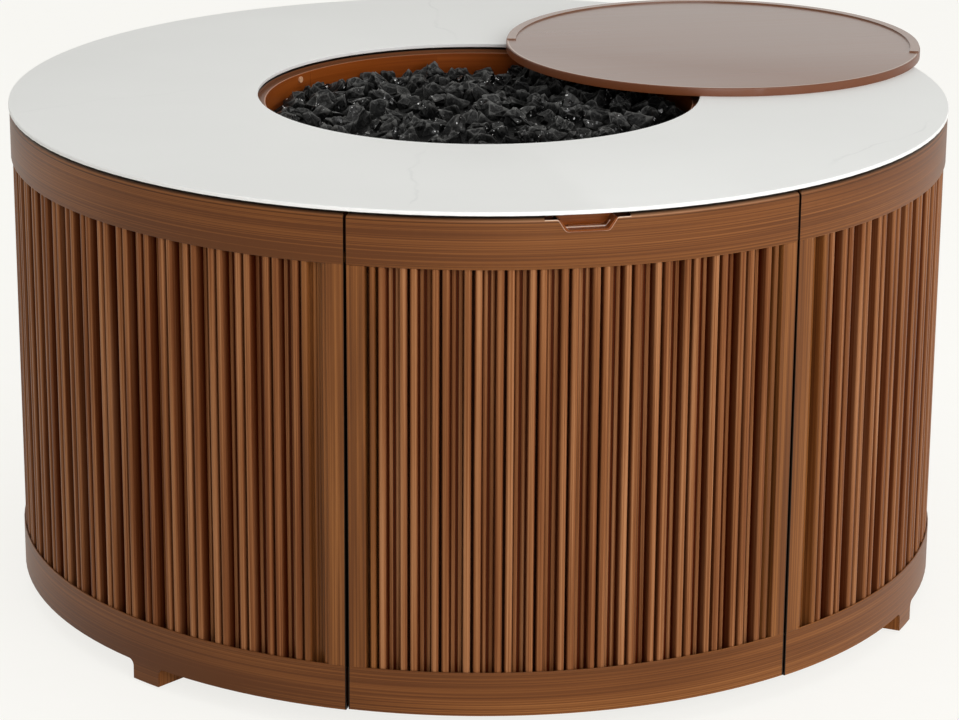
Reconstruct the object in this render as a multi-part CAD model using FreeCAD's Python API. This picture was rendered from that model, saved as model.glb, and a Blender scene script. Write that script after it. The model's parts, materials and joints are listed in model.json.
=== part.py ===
import FreeCAD, Part
import math
import os
import random

# Round drum fire pit table, millimetres, +Z up.
# The origin is on the drum's axis at floor level. The door faces -Y.
# An angle is counted in degrees from -Y, and grows towards +X.

# Overall size
overall_height = 640.0
top_diameter = 1200.0
top_thickness = 5.0
hole_diameter = 568.0
top_edge_radius = 1.0

# Drum shell
top_overhang = 1.0
shadow_gap = 2.0
band_sheet = 2.0
top_band_height = 61.0
bottom_band_height = 56.0
bullnose_radius = 7.0
band_edge_radius = 0.8
top_flange_width = 26.0
bottom_flange_width = 36.0
liner_sheet = 1.5
seat_gap = 0.3

# Door and seams
door_angle = 52.7
door_seam = 3.0
rear_seam = 2.0
door_lift = 1.5
door_rebate_depth = 12.0
stile_width = 21.5
corner_radius = 6.0
stile_edge_radius = 1.0

# Slats
slat_pitch = 36.93
slat_gap = 3.5
slat_depth = 17.0
slat_tuck = 10.0
rib_width = 8.7
rib_round_share = 0.38
edge_groove_width = 1.4
middle_groove_width = 2.8
ridge_height = 2.0
ridge_round = 1.5
web_thickness = 2.4
door_end_groove = 4.3
door_end_rib = 5.6
side_edge_rib = 6.3

# Feet
foot_height = 27.0
foot_pad_height = 3.0
foot_width = 44.0
foot_depth = 57.0
foot_shoulder = 8.0
foot_angle = 54.0
foot_hole_radius = 4.2
foot_pad_radius = 16.0
foot_centre_inset = 28.0

# Frame
base_sheet = 3.0
deck_sheet = 4.0
post_side = 25.0
post_wall = 2.0
post_angles = (-150.0, -90.0, -31.0, 31.0, 90.0, 150.0)
rib_sheet = 4.0
rib_height = 25.0
rib_angles = (-165.0, -120.0, -60.0, -15.0, 15.0, 60.0, 120.0, 165.0)
vent_count = 8
vent_length = 70.0
vent_width = 12.0
vent_circle_radius = 430.0
top_pad_radius = 12.0
top_pad_inset = 45.0

# Fire bowl
collar_sheet = 2.0
collar_radial_gap = 1.0
lid_ledge_width = 11.0
lid_ledge_depth = 11.0
collar_height = 54.0
collar_lip_width = 14.0
collar_flange_width = 20.0
pan_sheet = 1.5
pan_depth = 45.0
pan_side_gap = 7.0
bracket_count = 4
bracket_first_angle = 48.0
bracket_half_angle = 2.2
bracket_drop = 27.0
bracket_foot = 24.0
collar_screw_radius = 2.4
collar_screw_head_radius = 4.2
collar_screw_head = 2.2
collar_screw_drop = 5.0
collar_joint_angle = -137.0
collar_joint_width = 0.6
collar_joint_depth = 0.4
bed_edge_drop = 42.0
bed_crown = 13.0

# Stones lying on the bed
stone_pitch = 40.0
stone_gap = 0.6
stone_low = 9.0
stone_high = 15.0

# Burner and gas train
burner_ring_radius = 150.0
burner_tube_radius = 9.5
burner_height_above_pan = 15.0
burner_ports = 24
port_radius = 1.2
burner_clearance = 0.4
inlet_radius = 11.0
inlet_length = 26.0
pipe_radius = 5.0
pipe_bend = 18.0
pipe_drop = 16.0
pilot_angle = 205.0
pilot_radius_from_axis = 118.0
shield_gap = 30.5
shield_sheet = 1.5
shield_radius = 290.0
hanger_radius = 4.0
hanger_circle_radius = 282.0
hanger_nut_radius = 7.5
hanger_nut_height = 6.0
hanger_step_angle = 9.0

# Controls behind the door
panel_setback = 57.6
panel_width = 220.0
panel_height = 112.0
panel_sheet = 2.0
panel_flange = 28.0
valve_x = -45.0
valve_drop = 62.0
valve_size = 36.0
valve_length = 48.0
stem_radius = 4.0
stem_clearance = 0.08
stem_travel = 2.5
stem_room = 26.0
spring_cap_radius = 8.0
spring_cap_length = 4.0
knob_radius = 19.0
knob_depth = 18.0
knob_gap = 3.0
knob_grip_width = 8.0
knob_grip_height = 5.0
igniter_x = 50.0
igniter_radius = 10.5
igniter_length = 46.0
igniter_bezel_radius = 15.0
igniter_bezel = 3.0
button_radius = 7.5
button_travel = 4.0
button_proud = 6.0
button_clearance = 0.3
gas_inlet_radius = 7.9
gas_inlet_length = 14.0
gas_inlet_nut_radius = 11.0
gas_inlet_nut_height = 8.0

# Door hardware
catch_angle = 15.0
catch_half_angle = 2.0
catch_height = 22.0
catch_plate_sheet = 2.0
catch_depth = 15.0
sill_pin_x = 180.0
sill_pin_z = 62.0
sill_pin_radius = 4.0
sill_pin_clearance = 0.08
sill_bush_radius = 8.0
sill_boss_radius = 9.0
sill_bracket_sheet = 4.0
sill_bracket_width = 34.0
sill_bracket_setback = 15.2
sill_pin_reach = 12.0
pull_half_width = 34.0
pull_bottom_half_width = 25.0
pull_depth = 18.0
pull_step_half_width = 50.0
pull_step_drop = 4.0
pull_round = 6.0
pull_cup_depth = 22.0
pull_sheet = 2.0
pull_bead_radius = 1.6

# Tank holder
tank_ring_radius = 160.0
tank_ring_sheet = 2.0
tank_ring_height = 30.0
tank_ring_y = -170.0

# Lid, as it lies on the table top
lid_radius = 280.0
lid_height = 11.0
lid_sheet = 1.5
lid_x = 362.6
lid_y = 183.1
lid_edge_radius = 1.2
lid_rim_width = 12.0
lid_rim_height = 4.0
lid_rim_start = 65.5
lid_rim_end = 257.0

# Values worked out from the sizes above
top_radius = top_diameter / 2
hole_radius = hole_diameter / 2
face_radius = top_radius - top_overhang
band_inner_radius = face_radius - band_sheet
slat_face_radius = band_inner_radius - seat_gap
slat_back_radius = slat_face_radius - slat_depth
liner_outer_radius = slat_back_radius - seat_gap
liner_inner_radius = liner_outer_radius - liner_sheet
frame_radius = liner_inner_radius - seat_gap
rebate_radius = frame_radius - door_rebate_depth
panel_distance = frame_radius - panel_setback
sill_bracket_distance = math.sqrt(frame_radius ** 2 - sill_pin_x ** 2) - sill_bracket_setback


def degrees_across(length):
    """Angle that a length takes up on the slats' face."""
    return math.degrees(length / slat_face_radius)


top_underside = overall_height - top_thickness
band_top = top_underside - shadow_gap
top_band_bottom = band_top - top_band_height
band_bottom = foot_height
bottom_band_top = band_bottom + bottom_band_height
base_bottom = band_bottom + band_sheet
base_top = base_bottom + base_sheet
deck_top = band_top - band_sheet
deck_bottom = deck_top - deck_sheet

door_half = door_angle / 2
fixed_start = door_half + math.degrees(door_seam / face_radius)
fixed_end = 180.0 - math.degrees(rear_seam / 2 / face_radius)
pitch_angle = degrees_across(slat_pitch)
slat_width = slat_pitch - slat_gap
valley_width = slat_width - 2 * rib_width
ridge_width = (valley_width - 2 * edge_groove_width - middle_groove_width) / 2
rib_round = rib_round_share * rib_width

# The slats that fit between the stiles
side_ribs_width = side_edge_rib + valley_width + rib_width
door_stile_room = stile_width + door_end_groove + door_end_rib + slat_gap / 2
side_stile_room = stile_width + side_ribs_width + slat_gap / 2
door_slats_count = 2 * int(((door_half - degrees_across(door_stile_room)) / pitch_angle - 0.5)) + 1
door_last_gap = door_slats_count / 2 * pitch_angle
side_first_gap = fixed_start + degrees_across(side_stile_room)
side_slats_count = int((fixed_end - degrees_across(side_stile_room) - side_first_gap) / pitch_angle)
side_last_gap = side_first_gap + side_slats_count * pitch_angle

ledge_top = overall_height - lid_ledge_depth
collar_upper_radius = hole_radius + collar_radial_gap
collar_radius = collar_upper_radius - lid_ledge_width
collar_bottom = ledge_top - collar_height
pan_radius = collar_radius + collar_sheet - collar_lip_width - pan_side_gap
pan_flange_top = collar_bottom + collar_sheet + pan_sheet
pan_bottom = collar_bottom + collar_sheet - pan_depth
pan_floor = pan_bottom + pan_sheet
burner_z = pan_floor + burner_height_above_pan
bed_edge_z = overall_height - bed_edge_drop
bed_radius = collar_radius - seat_gap
bed_curve = (bed_radius ** 2 + bed_crown ** 2) / (2 * bed_crown)
shield_top = pan_bottom - shield_gap
panel_top = deck_bottom
panel_bottom = panel_top - panel_height
valve_z = panel_top - valve_drop

origin = FreeCAD.Vector(0, 0, 0)
up = FreeCAD.Vector(0, 0, 1)


def at(radius, angle, z=0.0):
    """Point at a radius and an angle counted from -Y towards +X."""
    turn = math.radians(angle)
    return FreeCAD.Vector(radius * math.sin(turn), -radius * math.cos(turn), z)


def turned(shape, angle):
    """Copy of a shape made at the door's middle, turned round the drum's axis."""
    copy = shape.copy()
    copy.rotate(origin, up, angle)
    return copy


def moved(shape, x=0.0, y=0.0, z=0.0):
    copy = shape.copy()
    copy.translate(FreeCAD.Vector(x, y, z))
    return copy


def ring(inner, outer, low, high):
    body = Part.makeCylinder(outer, high - low, FreeCAD.Vector(0, 0, low))
    return body.cut(Part.makeCylinder(inner, high - low, FreeCAD.Vector(0, 0, low)))


def sector(inner, outer, start, end, low, high):
    """Part of a ring between two angles."""
    middle = (start + end) / 2
    edges = [
        Part.Arc(at(outer, start, low), at(outer, middle, low), at(outer, end, low)).toShape(),
        Part.makeLine(at(outer, end, low), at(inner, end, low)),
        Part.Arc(at(inner, end, low), at(inner, middle, low), at(inner, start, low)).toShape(),
        Part.makeLine(at(inner, start, low), at(outer, start, low)),
    ]
    return Part.Face(Part.Wire(edges)).extrude(FreeCAD.Vector(0, 0, high - low))


def box(x0, x1, y0, y1, z0, z1):
    return Part.makeBox(x1 - x0, y1 - y0, z1 - z0, FreeCAD.Vector(x0, y0, z0))


def bar_y(radius, x, y0, y1, z):
    """Round bar along Y."""
    return Part.makeCylinder(radius, y1 - y0, FreeCAD.Vector(x, y0, z), FreeCAD.Vector(0, 1, 0))


def bar_z(radius, x, y, z0, z1):
    return Part.makeCylinder(radius, z1 - z0, FreeCAD.Vector(x, y, z0))


def rounded_wire(points, radii):
    """Closed wire through the points, each corner rounded by its own radius."""
    edges = []
    count = len(points)
    joins = []
    for i in range(count):
        corner = points[i]
        before = points[i - 1] - corner
        after = points[(i + 1) % count] - corner
        if radii[i] == 0:
            joins.append((corner, None, corner))
            continue
        half = before.getAngle(after) / 2
        reach = radii[i] / math.tan(half)
        into = FreeCAD.Vector(before).normalize()
        out = FreeCAD.Vector(after).normalize()
        bisector = (into + out).normalize()
        centre = corner + bisector * (radii[i] / math.sin(half))
        joins.append((corner + into * reach, centre - bisector * radii[i], corner + out * reach))
    for i in range(count):
        start, middle, end = joins[i]
        if middle is not None:
            edges.append(Part.Arc(start, middle, end).toShape())
        follow = joins[(i + 1) % count][0]
        if end.distanceToPoint(follow) > 1e-6:
            edges.append(Part.makeLine(end, follow))
    return Part.Wire(edges)


def swept_profile(points, radii, start, end):
    """Profile of (radius, height) points, turned round the drum's axis between two angles."""
    corners = [FreeCAD.Vector(r, 0, z) for r, z in points]
    face = Part.Face(rounded_wire(corners, radii))
    face.rotate(origin, up, start - 90.0)
    return face.revolve(origin, up, end - start)


def spun_profile(points, radii):
    return swept_profile(points, radii, 0.0, 360.0)


def one(shape):
    """The single clean solid that a fuse or cut should have left."""
    clean = shape.removeSplitter()
    if len(clean.Solids) != 1:
        raise ValueError("expected one solid, found %d" % len(clean.Solids))
    return clean.Solids[0]


def save(name, solids):
    shape = solids[0] if len(solids) == 1 else Part.makeCompound(solids)
    for solid in solids:
        if not solid.isValid():
            raise ValueError(name + " holds a solid that is not valid")
    shape.exportStep("parts/" + name + ".step")
    print("%-22s %3d solids  %10.0f mm3" % (name, len(solids), shape.Volume))


# Table top

def make_stone_top():
    points = [(hole_radius, top_underside), (top_radius, top_underside),
              (top_radius, overall_height), (hole_radius, overall_height)]
    radii = [top_edge_radius] * 4
    return spun_profile(points, radii)


def make_top_pads():
    """Rubber pads that carry the stone a little above the deck."""
    rest = top_underside - deck_top
    outer = top_radius - top_pad_inset
    inner = collar_upper_radius + collar_flange_width + top_pad_inset
    pads = []
    for radius, count in ((outer, 12), (inner, 8)):
        for i in range(count):
            centre = at(radius, 360.0 * (i + 0.5) / count)
            pads.append(bar_z(top_pad_radius, centre.x, centre.y, deck_top, deck_top + rest))
    return pads


# Frame

def plate_with_rebate(inner, low, high):
    """Round sheet whose edge steps back behind the door."""
    clear = fixed_start + 1.0
    plate = ring(inner, frame_radius, low, high) if inner else bar_z(frame_radius, 0, 0, low, high)
    return plate.cut(sector(rebate_radius, top_radius, -clear, clear, low, high))


def make_top_deck():
    return one(plate_with_rebate(collar_upper_radius + collar_sheet + seat_gap, deck_bottom, deck_top))


def make_deck_ribs():
    inner = collar_upper_radius + bracket_foot
    outer = frame_radius - post_side - stile_width
    rib = box(-rib_sheet / 2, rib_sheet / 2, -outer, -inner, deck_bottom - rib_height, deck_bottom)
    return [turned(rib, angle) for angle in rib_angles]


def make_base_plate():
    plate = plate_with_rebate(0.0, base_bottom, base_top)
    half = vent_length / 2 - vent_width / 2
    for i in range(vent_count):
        slot = box(-half, half, -vent_circle_radius - vent_width / 2,
                   -vent_circle_radius + vent_width / 2, base_bottom, base_top)
        for side in (-half, half):
            slot = slot.fuse(bar_z(vent_width / 2, side, -vent_circle_radius, base_bottom, base_top))
        plate = plate.cut(turned(slot, 360.0 * (i + 0.5) / vent_count))
    return one(plate)


def make_posts():
    """Square uprights between the base plate and the deck."""
    half = post_side / 2
    reach = math.sqrt(frame_radius ** 2 - half ** 2)
    inside = half - post_wall
    outer = box(-half, half, -reach, -reach + post_side, base_top, deck_bottom)
    hollow = box(-inside, inside, -reach + post_wall, -reach + post_side - post_wall,
                 base_top, deck_bottom)
    post = outer.cut(hollow)
    return [turned(post, angle) for angle in post_angles]


def foot_angles():
    return (-180.0 + foot_angle, -foot_angle, foot_angle, 180.0 - foot_angle)


def foot_hole():
    """Hole for a levelling screw or a floor bolt, up through each foot."""
    distance = band_inner_radius - foot_centre_inset
    return bar_z(foot_hole_radius, 0.0, -distance, 0.0, band_bottom)


def make_feet():
    """Blocks behind the tabs of the bottom band."""
    outer = math.sqrt((band_inner_radius - seat_gap) ** 2 - (foot_width / 2) ** 2)
    front = box(-foot_width / 2, foot_width / 2, -band_inner_radius, -outer + foot_depth,
                foot_pad_height, band_bottom)
    block = front.common(bar_z(band_inner_radius - seat_gap, 0, 0, foot_pad_height, band_bottom))
    block = one(block.cut(foot_hole()))
    return [turned(block, angle) for angle in foot_angles()]


def make_foot_pads():
    distance = band_inner_radius - foot_centre_inset
    pad = bar_z(foot_pad_radius, 0.0, -distance, 0.0, foot_pad_height).cut(foot_hole())
    return [turned(one(pad), angle) for angle in foot_angles()]


# Drum shell: bands, slats, stiles and liner

def top_band(start, end):
    inner = face_radius - top_flange_width
    inside_round = bullnose_radius - band_sheet
    points = [(face_radius, top_band_bottom), (face_radius, band_top), (inner, band_top),
              (inner, band_top - band_sheet), (band_inner_radius, band_top - band_sheet),
              (band_inner_radius, top_band_bottom)]
    radii = [band_edge_radius, bullnose_radius, 0, 0, inside_round, band_edge_radius]
    return swept_profile(points, radii, start, end)


def bottom_band(start, end, low, flange):
    points = [(face_radius, low), (face_radius, bottom_band_top),
              (band_inner_radius, bottom_band_top), (band_inner_radius, low + band_sheet),
              (face_radius - flange, low + band_sheet), (face_radius - flange, low)]
    radii = [0, band_edge_radius, band_edge_radius, 0, 0, 0]
    return swept_profile(points, radii, start, end)


def foot_tab():
    """Tongue of the bottom band that runs down in front of a foot."""
    half = foot_width / 2
    wide = half + foot_shoulder
    shoulder_z = band_bottom - foot_shoulder
    overlap = band_bottom + 1.0
    y = -top_radius
    edge = math.sqrt(0.5) * foot_shoulder
    corners = [FreeCAD.Vector(-half, y, foot_pad_height), FreeCAD.Vector(half, y, foot_pad_height),
               FreeCAD.Vector(half, y, shoulder_z), FreeCAD.Vector(wide, y, band_bottom),
               FreeCAD.Vector(wide, y, overlap), FreeCAD.Vector(-wide, y, overlap),
               FreeCAD.Vector(-wide, y, band_bottom), FreeCAD.Vector(-half, y, shoulder_z)]
    right = FreeCAD.Vector(wide - edge, y, shoulder_z + edge)
    left = FreeCAD.Vector(edge - wide, y, shoulder_z + edge)
    edges = [Part.makeLine(corners[0], corners[1]), Part.makeLine(corners[1], corners[2]),
             Part.Arc(corners[2], right, corners[3]).toShape(),
             Part.makeLine(corners[3], corners[4]), Part.makeLine(corners[4], corners[5]),
             Part.makeLine(corners[5], corners[6]),
             Part.Arc(corners[6], left, corners[7]).toShape(),
             Part.makeLine(corners[7], corners[0])]
    outline = Part.Face(Part.Wire(edges)).extrude(FreeCAD.Vector(0, foot_depth, 0))
    return outline.common(sector(band_inner_radius, face_radius, -10, 10, 0, overlap))


def corner_cutter(angle, side):
    """What rounds off the top corner of a band at a seam; side is +1 or -1."""
    edge = at(face_radius, angle)
    square = box(-corner_radius, corner_radius, -top_radius - 1, -face_radius + top_flange_width + 1,
                 band_top - corner_radius, band_top + corner_radius)
    shift = -side * corner_radius
    keep = bar_y(corner_radius, shift, -top_radius - 2, -face_radius + top_flange_width + 2,
                 band_top - corner_radius)
    inner_half = box(min(shift, 2 * shift), max(shift, 2 * shift), -top_radius - 2,
                     -face_radius + top_flange_width + 2,
                     band_top - 2 * corner_radius, band_top + corner_radius)
    return turned(square.cut(keep).cut(inner_half), math.degrees(math.atan2(edge.x, -edge.y)))


def make_side_top_band(side):
    """Right side for side = 1, left side for side = -1."""
    band = top_band(fixed_start, fixed_end)
    band = band.cut(corner_cutter(fixed_start, -1))
    return one(band if side > 0 else band.mirror(origin, FreeCAD.Vector(1, 0, 0)))


def make_side_bottom_band(side):
    band = bottom_band(fixed_start, fixed_end, band_bottom, bottom_flange_width)
    for angle in (foot_angle, 180.0 - foot_angle):
        band = band.fuse(turned(foot_tab(), angle))
    return one(band if side > 0 else band.mirror(origin, FreeCAD.Vector(1, 0, 0)))


def valley(right):
    """Floor between two tall ribs, from right to left, with two low ridges on it."""
    low = web_thickness + ridge_height
    points = [(right, web_thickness)]
    radii = [0]
    start = right - edge_groove_width
    for _ in range(2):
        end = start - ridge_width
        points += [(start, web_thickness), (start, low), (end, low), (end, web_thickness)]
        radii += [0, ridge_round, ridge_round, 0]
        start = end - middle_groove_width
    points.append((right - valley_width, web_thickness))
    radii.append(0)
    return points, radii


def slat_profile():
    """Two tall ribs on one web, with two low ridges between them."""
    half = slat_width / 2
    tall = slat_depth
    floor, floor_radii = valley(half - rib_width)
    points = [(-half, 0), (half, 0), (half, tall), (half - rib_width, tall)]
    points += floor + [(rib_width - half, tall), (-half, tall)]
    radii = [0, 0, rib_round, rib_round] + floor_radii + [rib_round, rib_round]
    return points, radii


def upright(points, radii, low, high):
    """Upright bar at the door's middle; points are (across, outwards from the liner)."""
    corners = [FreeCAD.Vector(x, -slat_back_radius - out, low) for x, out in points]
    return Part.Face(rounded_wire(corners, radii)).extrude(FreeCAD.Vector(0, 0, high - low))


def make_slats(first_angle, count):
    points, radii = slat_profile()
    slat = upright(points, radii, bottom_band_top - slat_tuck, top_band_bottom + slat_tuck)
    return [turned(slat, first_angle + i * pitch_angle) for i in range(count)]


def across(start_angle, end_angle):
    """Length between two angles on the slats' face."""
    return math.radians(end_angle - start_angle) * slat_face_radius


def set_stile(points, radii, seam_angle, side, width):
    """Stile made of a flat bar and what its profile adds, placed from the seam towards side."""
    if side < 0:
        points = [(-x, out) for x, out in reversed(points)]
        radii = list(reversed(radii))
    middle = seam_angle + side * degrees_across(width / 2)
    return turned(upright(points, radii, bottom_band_top, top_band_bottom), middle)


def make_door_stile(side):
    """Flat bar, a narrow groove and the rib beside the last gap."""
    half = stile_width / 2
    flat = face_radius - slat_back_radius
    far = across(door_last_gap, door_half) - slat_gap / 2 - half
    foot = half + door_end_groove
    end_round = rib_round_share * (far - foot)
    points = [(-half, 0), (far, 0), (far, slat_depth), (foot, slat_depth), (foot, web_thickness),
              (half, web_thickness), (half, flat), (-half, flat)]
    radii = [0, 0, end_round, end_round, 0, 0, stile_edge_radius, stile_edge_radius]
    return set_stile(points, radii, side * door_half, -side, stile_width)


def side_stile_profile(width):
    """Flat bar with a slat's worth of ribs beside it, the first one partly under the bar."""
    half = width / 2
    flat = face_radius - slat_back_radius
    first = half + side_edge_rib
    foot = first + valley_width
    end = foot + rib_width
    floor, floor_radii = valley(foot)
    points = [(-half, 0), (end, 0), (end, slat_depth), (foot, slat_depth)]
    points += floor + [(first, slat_depth), (half, slat_depth), (half, flat), (-half, flat)]
    radii = [0, 0, rib_round, rib_round] + floor_radii + [rib_round, 0, stile_edge_radius, stile_edge_radius]
    return points, radii


def make_side_front_stile(side):
    points, radii = side_stile_profile(stile_width)
    return set_stile(points, radii, side * fixed_start, side, stile_width)


def make_side_rear_stile(side):
    """The rear stile's bar takes up what the slats leave beside the rear seam."""
    width = across(side_last_gap, fixed_end) - slat_gap / 2 - side_ribs_width
    points, radii = side_stile_profile(width)
    return set_stile(points, radii, side * fixed_end, -side, width)


def make_liner(start, end, low):
    return sector(liner_inner_radius, liner_outer_radius, start, end, low, band_top - band_sheet)


def make_rear_splice():
    """Strap inside the liner that joins the two side panels at the rear seam."""
    return sector(frame_radius - liner_sheet, frame_radius, 177.0, 183.0,
                  bottom_band_top, top_band_bottom)


# Door

def pull_notch(grow):
    """Outline of the finger pull's notch in the door's top edge, grown by a clearance."""
    y = -top_radius - 1
    step = band_top - pull_step_drop
    low = band_top - pull_depth - grow
    high = band_top + 10.0
    points = [(-pull_step_half_width, high), (-pull_step_half_width, step),
              (-pull_half_width - grow, step), (-pull_bottom_half_width - grow, low),
              (pull_bottom_half_width + grow, low), (pull_half_width + grow, step),
              (pull_step_half_width, step), (pull_step_half_width, high)]
    radii = [0, 1.5, 3.0, pull_round, pull_round, 3.0, 1.5, 0]
    wire = rounded_wire([FreeCAD.Vector(x, y, z) for x, z in points], radii)
    return Part.Face(wire)


def cup_outline(inset, y):
    """Cup section: the notch's outline, drawn in by an inset, below the band's step."""
    high = band_top - pull_step_drop
    low = band_top - pull_depth + inset
    points = [(-pull_half_width + inset, high), (-pull_bottom_half_width + inset, low),
              (pull_bottom_half_width - inset, low), (pull_half_width - inset, high)]
    radii = [0, pull_round - inset, pull_round - inset, 0]
    return Part.Face(rounded_wire([FreeCAD.Vector(x, y, z) for x, z in points], radii))


def make_door_top_band():
    band = top_band(-door_half, door_half)
    notch = pull_notch(seat_gap).extrude(FreeCAD.Vector(0, top_flange_width + 10.0, 0))
    band = band.cut(notch)
    for side in (-1, 1):
        band = band.cut(corner_cutter(side * door_half, side))
    return one(band)


def make_door_bottom_band():
    flange = face_radius - liner_inner_radius
    return bottom_band(-door_half, door_half, band_bottom + door_lift, flange)


def make_door_liner():
    liner = make_liner(-door_half, door_half, band_bottom + door_lift + band_sheet)
    half = pull_half_width + pull_sheet
    return one(liner.cut(box(-half, half, -top_radius, -rebate_radius,
                             band_top - pull_depth - pull_sheet, overall_height)))


def make_finger_pull():
    """Pressed cup behind the notch, with a rolled bead along its inner edge."""
    front = -face_radius
    length = FreeCAD.Vector(0, pull_cup_depth, 0)
    cup = cup_outline(0.0, front).extrude(length)
    cup = cup.cut(cup_outline(pull_sheet, front).extrude(length))
    wall = cup_outline(0.0, front + pull_cup_depth).extrude(FreeCAD.Vector(0, pull_sheet, 0))
    bead_y = front + pull_cup_depth - pull_bead_radius
    bead_z = band_top - pull_depth + pull_sheet
    reach = pull_bottom_half_width - pull_round
    bead = Part.makeCylinder(pull_bead_radius, 2 * reach, FreeCAD.Vector(-reach, bead_y, bead_z),
                             FreeCAD.Vector(1, 0, 0))
    return one(cup.fuse(wall).fuse(bead))


def make_catch_plates():
    """Steel plates on the door's liner that the magnets hold."""
    middle = deck_bottom - catch_height / 2
    return [sector(frame_radius - catch_plate_sheet, frame_radius, side * catch_angle - catch_half_angle,
                   side * catch_angle + catch_half_angle, middle - catch_height / 2,
                   middle + catch_height / 2) for side in (-1, 1)]


def make_door_magnets():
    """Magnet blocks that hang from the deck just behind the plates."""
    outer = frame_radius - catch_plate_sheet - seat_gap
    low = deck_bottom - catch_height
    return [sector(outer - catch_depth, outer, side * catch_angle - catch_half_angle,
                   side * catch_angle + catch_half_angle, low, deck_bottom) for side in (-1, 1)]


def make_sill_pins():
    """Pins on the door that slide into the sill bushes; a boss seats each on the liner."""
    pins = []
    tip = -sill_bracket_distance + sill_bracket_sheet + sill_pin_reach
    shoulder = -sill_bracket_distance - 4.0
    disc = bar_z(frame_radius, 0, 0, 0, overall_height)
    for side in (-1, 1):
        x = side * sill_pin_x
        boss = bar_y(sill_boss_radius, x, -face_radius, shoulder, sill_pin_z).common(disc)
        pins.append(one(boss.fuse(bar_y(sill_pin_radius, x, shoulder, tip, sill_pin_z))))
    return pins


def make_sill_brackets():
    brackets = []
    y0 = -sill_bracket_distance
    y1 = y0 + sill_bracket_sheet
    half = sill_bracket_width / 2
    for side in (-1, 1):
        x = side * sill_pin_x
        leg = box(x - half, x + half, y0, y1, base_top, sill_pin_z + half)
        foot = box(x - half, x + half, y0, y1 + half, base_top, base_top + sill_bracket_sheet)
        hole = bar_y(sill_bush_radius, x, y0, y1, sill_pin_z)
        brackets.append(one(leg.fuse(foot).cut(hole)))
    return brackets


def make_sill_bushes():
    y0 = -sill_bracket_distance
    y1 = y0 + sill_bracket_sheet
    bore = sill_pin_radius + sill_pin_clearance
    return [bar_y(sill_bush_radius, side * sill_pin_x, y0, y1, sill_pin_z).cut(
        bar_y(bore, side * sill_pin_x, y0, y1, sill_pin_z)) for side in (-1, 1)]


# Fire bowl

def collar_screw_angles():
    return [bracket_first_angle + 360.0 * i / bracket_count for i in range(bracket_count)]


def collar_screw_z():
    return deck_bottom - collar_screw_drop


def hanger_angles():
    return [angle - hanger_step_angle for angle in collar_screw_angles()]


def screw_hole(radius):
    return bar_y(radius, 0.0, -hole_radius, -collar_radius + collar_screw_head, collar_screw_z())


def make_collar():
    """Stepped ring hung on the deck. Its ledge carries the lid, its lower lip the pan."""
    flange_top = deck_top + collar_sheet
    outer = collar_upper_radius + collar_flange_width
    wall = collar_radius + collar_sheet
    lip = wall - collar_lip_width
    points = [(collar_upper_radius, flange_top), (collar_upper_radius, ledge_top),
              (collar_radius, ledge_top), (collar_radius, collar_bottom + collar_sheet),
              (lip, collar_bottom + collar_sheet), (lip, collar_bottom), (wall, collar_bottom),
              (wall, ledge_top - collar_sheet),
              (collar_upper_radius + collar_sheet, ledge_top - collar_sheet),
              (collar_upper_radius + collar_sheet, deck_top), (outer, deck_top), (outer, flange_top)]
    radii = [1.0, 0, 0.8, 0, 0, 0, 0, 0, 0, 0, 0, 0]
    collar = spun_profile(points, radii)
    for angle in collar_screw_angles():
        collar = collar.cut(turned(screw_hole(collar_screw_radius), angle))
    half = collar_joint_width / 2
    joint = box(-half, half, -collar_radius - collar_joint_depth, -lip,
                collar_bottom + 2 * collar_sheet, ledge_top - collar_sheet)
    return one(collar.cut(turned(joint, collar_joint_angle)))


def make_collar_brackets():
    inner = collar_radius + collar_sheet + seat_gap
    bracket = sector(inner, inner + collar_sheet, -bracket_half_angle, bracket_half_angle,
                     deck_bottom - bracket_drop, ledge_top - collar_sheet - seat_gap)
    foot_start = collar_upper_radius + collar_sheet + seat_gap
    foot = sector(inner, foot_start + bracket_foot, -bracket_half_angle, bracket_half_angle,
                  deck_bottom - collar_sheet, deck_bottom)
    bracket = bracket.common(bar_z(top_radius, 0, 0, 0, deck_bottom)).fuse(foot)
    bracket = one(bracket.cut(screw_hole(collar_screw_radius)))
    return [turned(bracket, angle) for angle in collar_screw_angles()]


def make_collar_screws():
    z = collar_screw_z()
    head_face = -collar_radius + collar_screw_head
    seat = -math.sqrt(collar_radius ** 2 - collar_screw_head_radius ** 2)
    head = bar_y(collar_screw_head_radius, 0.0, seat, head_face, z)
    shank = bar_y(collar_screw_radius - 0.05, 0.0, -collar_radius - collar_sheet * 2 - 2.0, seat, z)
    screw = one(head.fuse(shank))
    return [turned(screw, angle) for angle in collar_screw_angles()]


def make_burner_pan():
    wall = pan_radius - pan_sheet
    flange = collar_radius - collar_sheet
    points = [(0, pan_bottom), (pan_radius, pan_bottom), (pan_radius, collar_bottom + collar_sheet),
              (flange, collar_bottom + collar_sheet), (flange, pan_flange_top),
              (wall, pan_flange_top), (wall, pan_floor), (0, pan_floor)]
    pan = spun_profile(points, [0, 6.0, 0, 0, 0, 0, 4.5, 0])
    return one(pan.cut(bar_z(inlet_radius, 0, 0, pan_bottom, pan_floor)))


def burner_shape(grow):
    """Ring tube with one cross tube and the riser that feeds it."""
    tube = burner_tube_radius + grow
    shape = Part.makeTorus(burner_ring_radius, tube, FreeCAD.Vector(0, 0, burner_z), up)
    shape = shape.fuse(bar_y(tube, 0.0, -burner_ring_radius, burner_ring_radius, burner_z))
    return shape.fuse(bar_z(inlet_radius + grow, 0, 0, pan_floor, burner_z))


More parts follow.
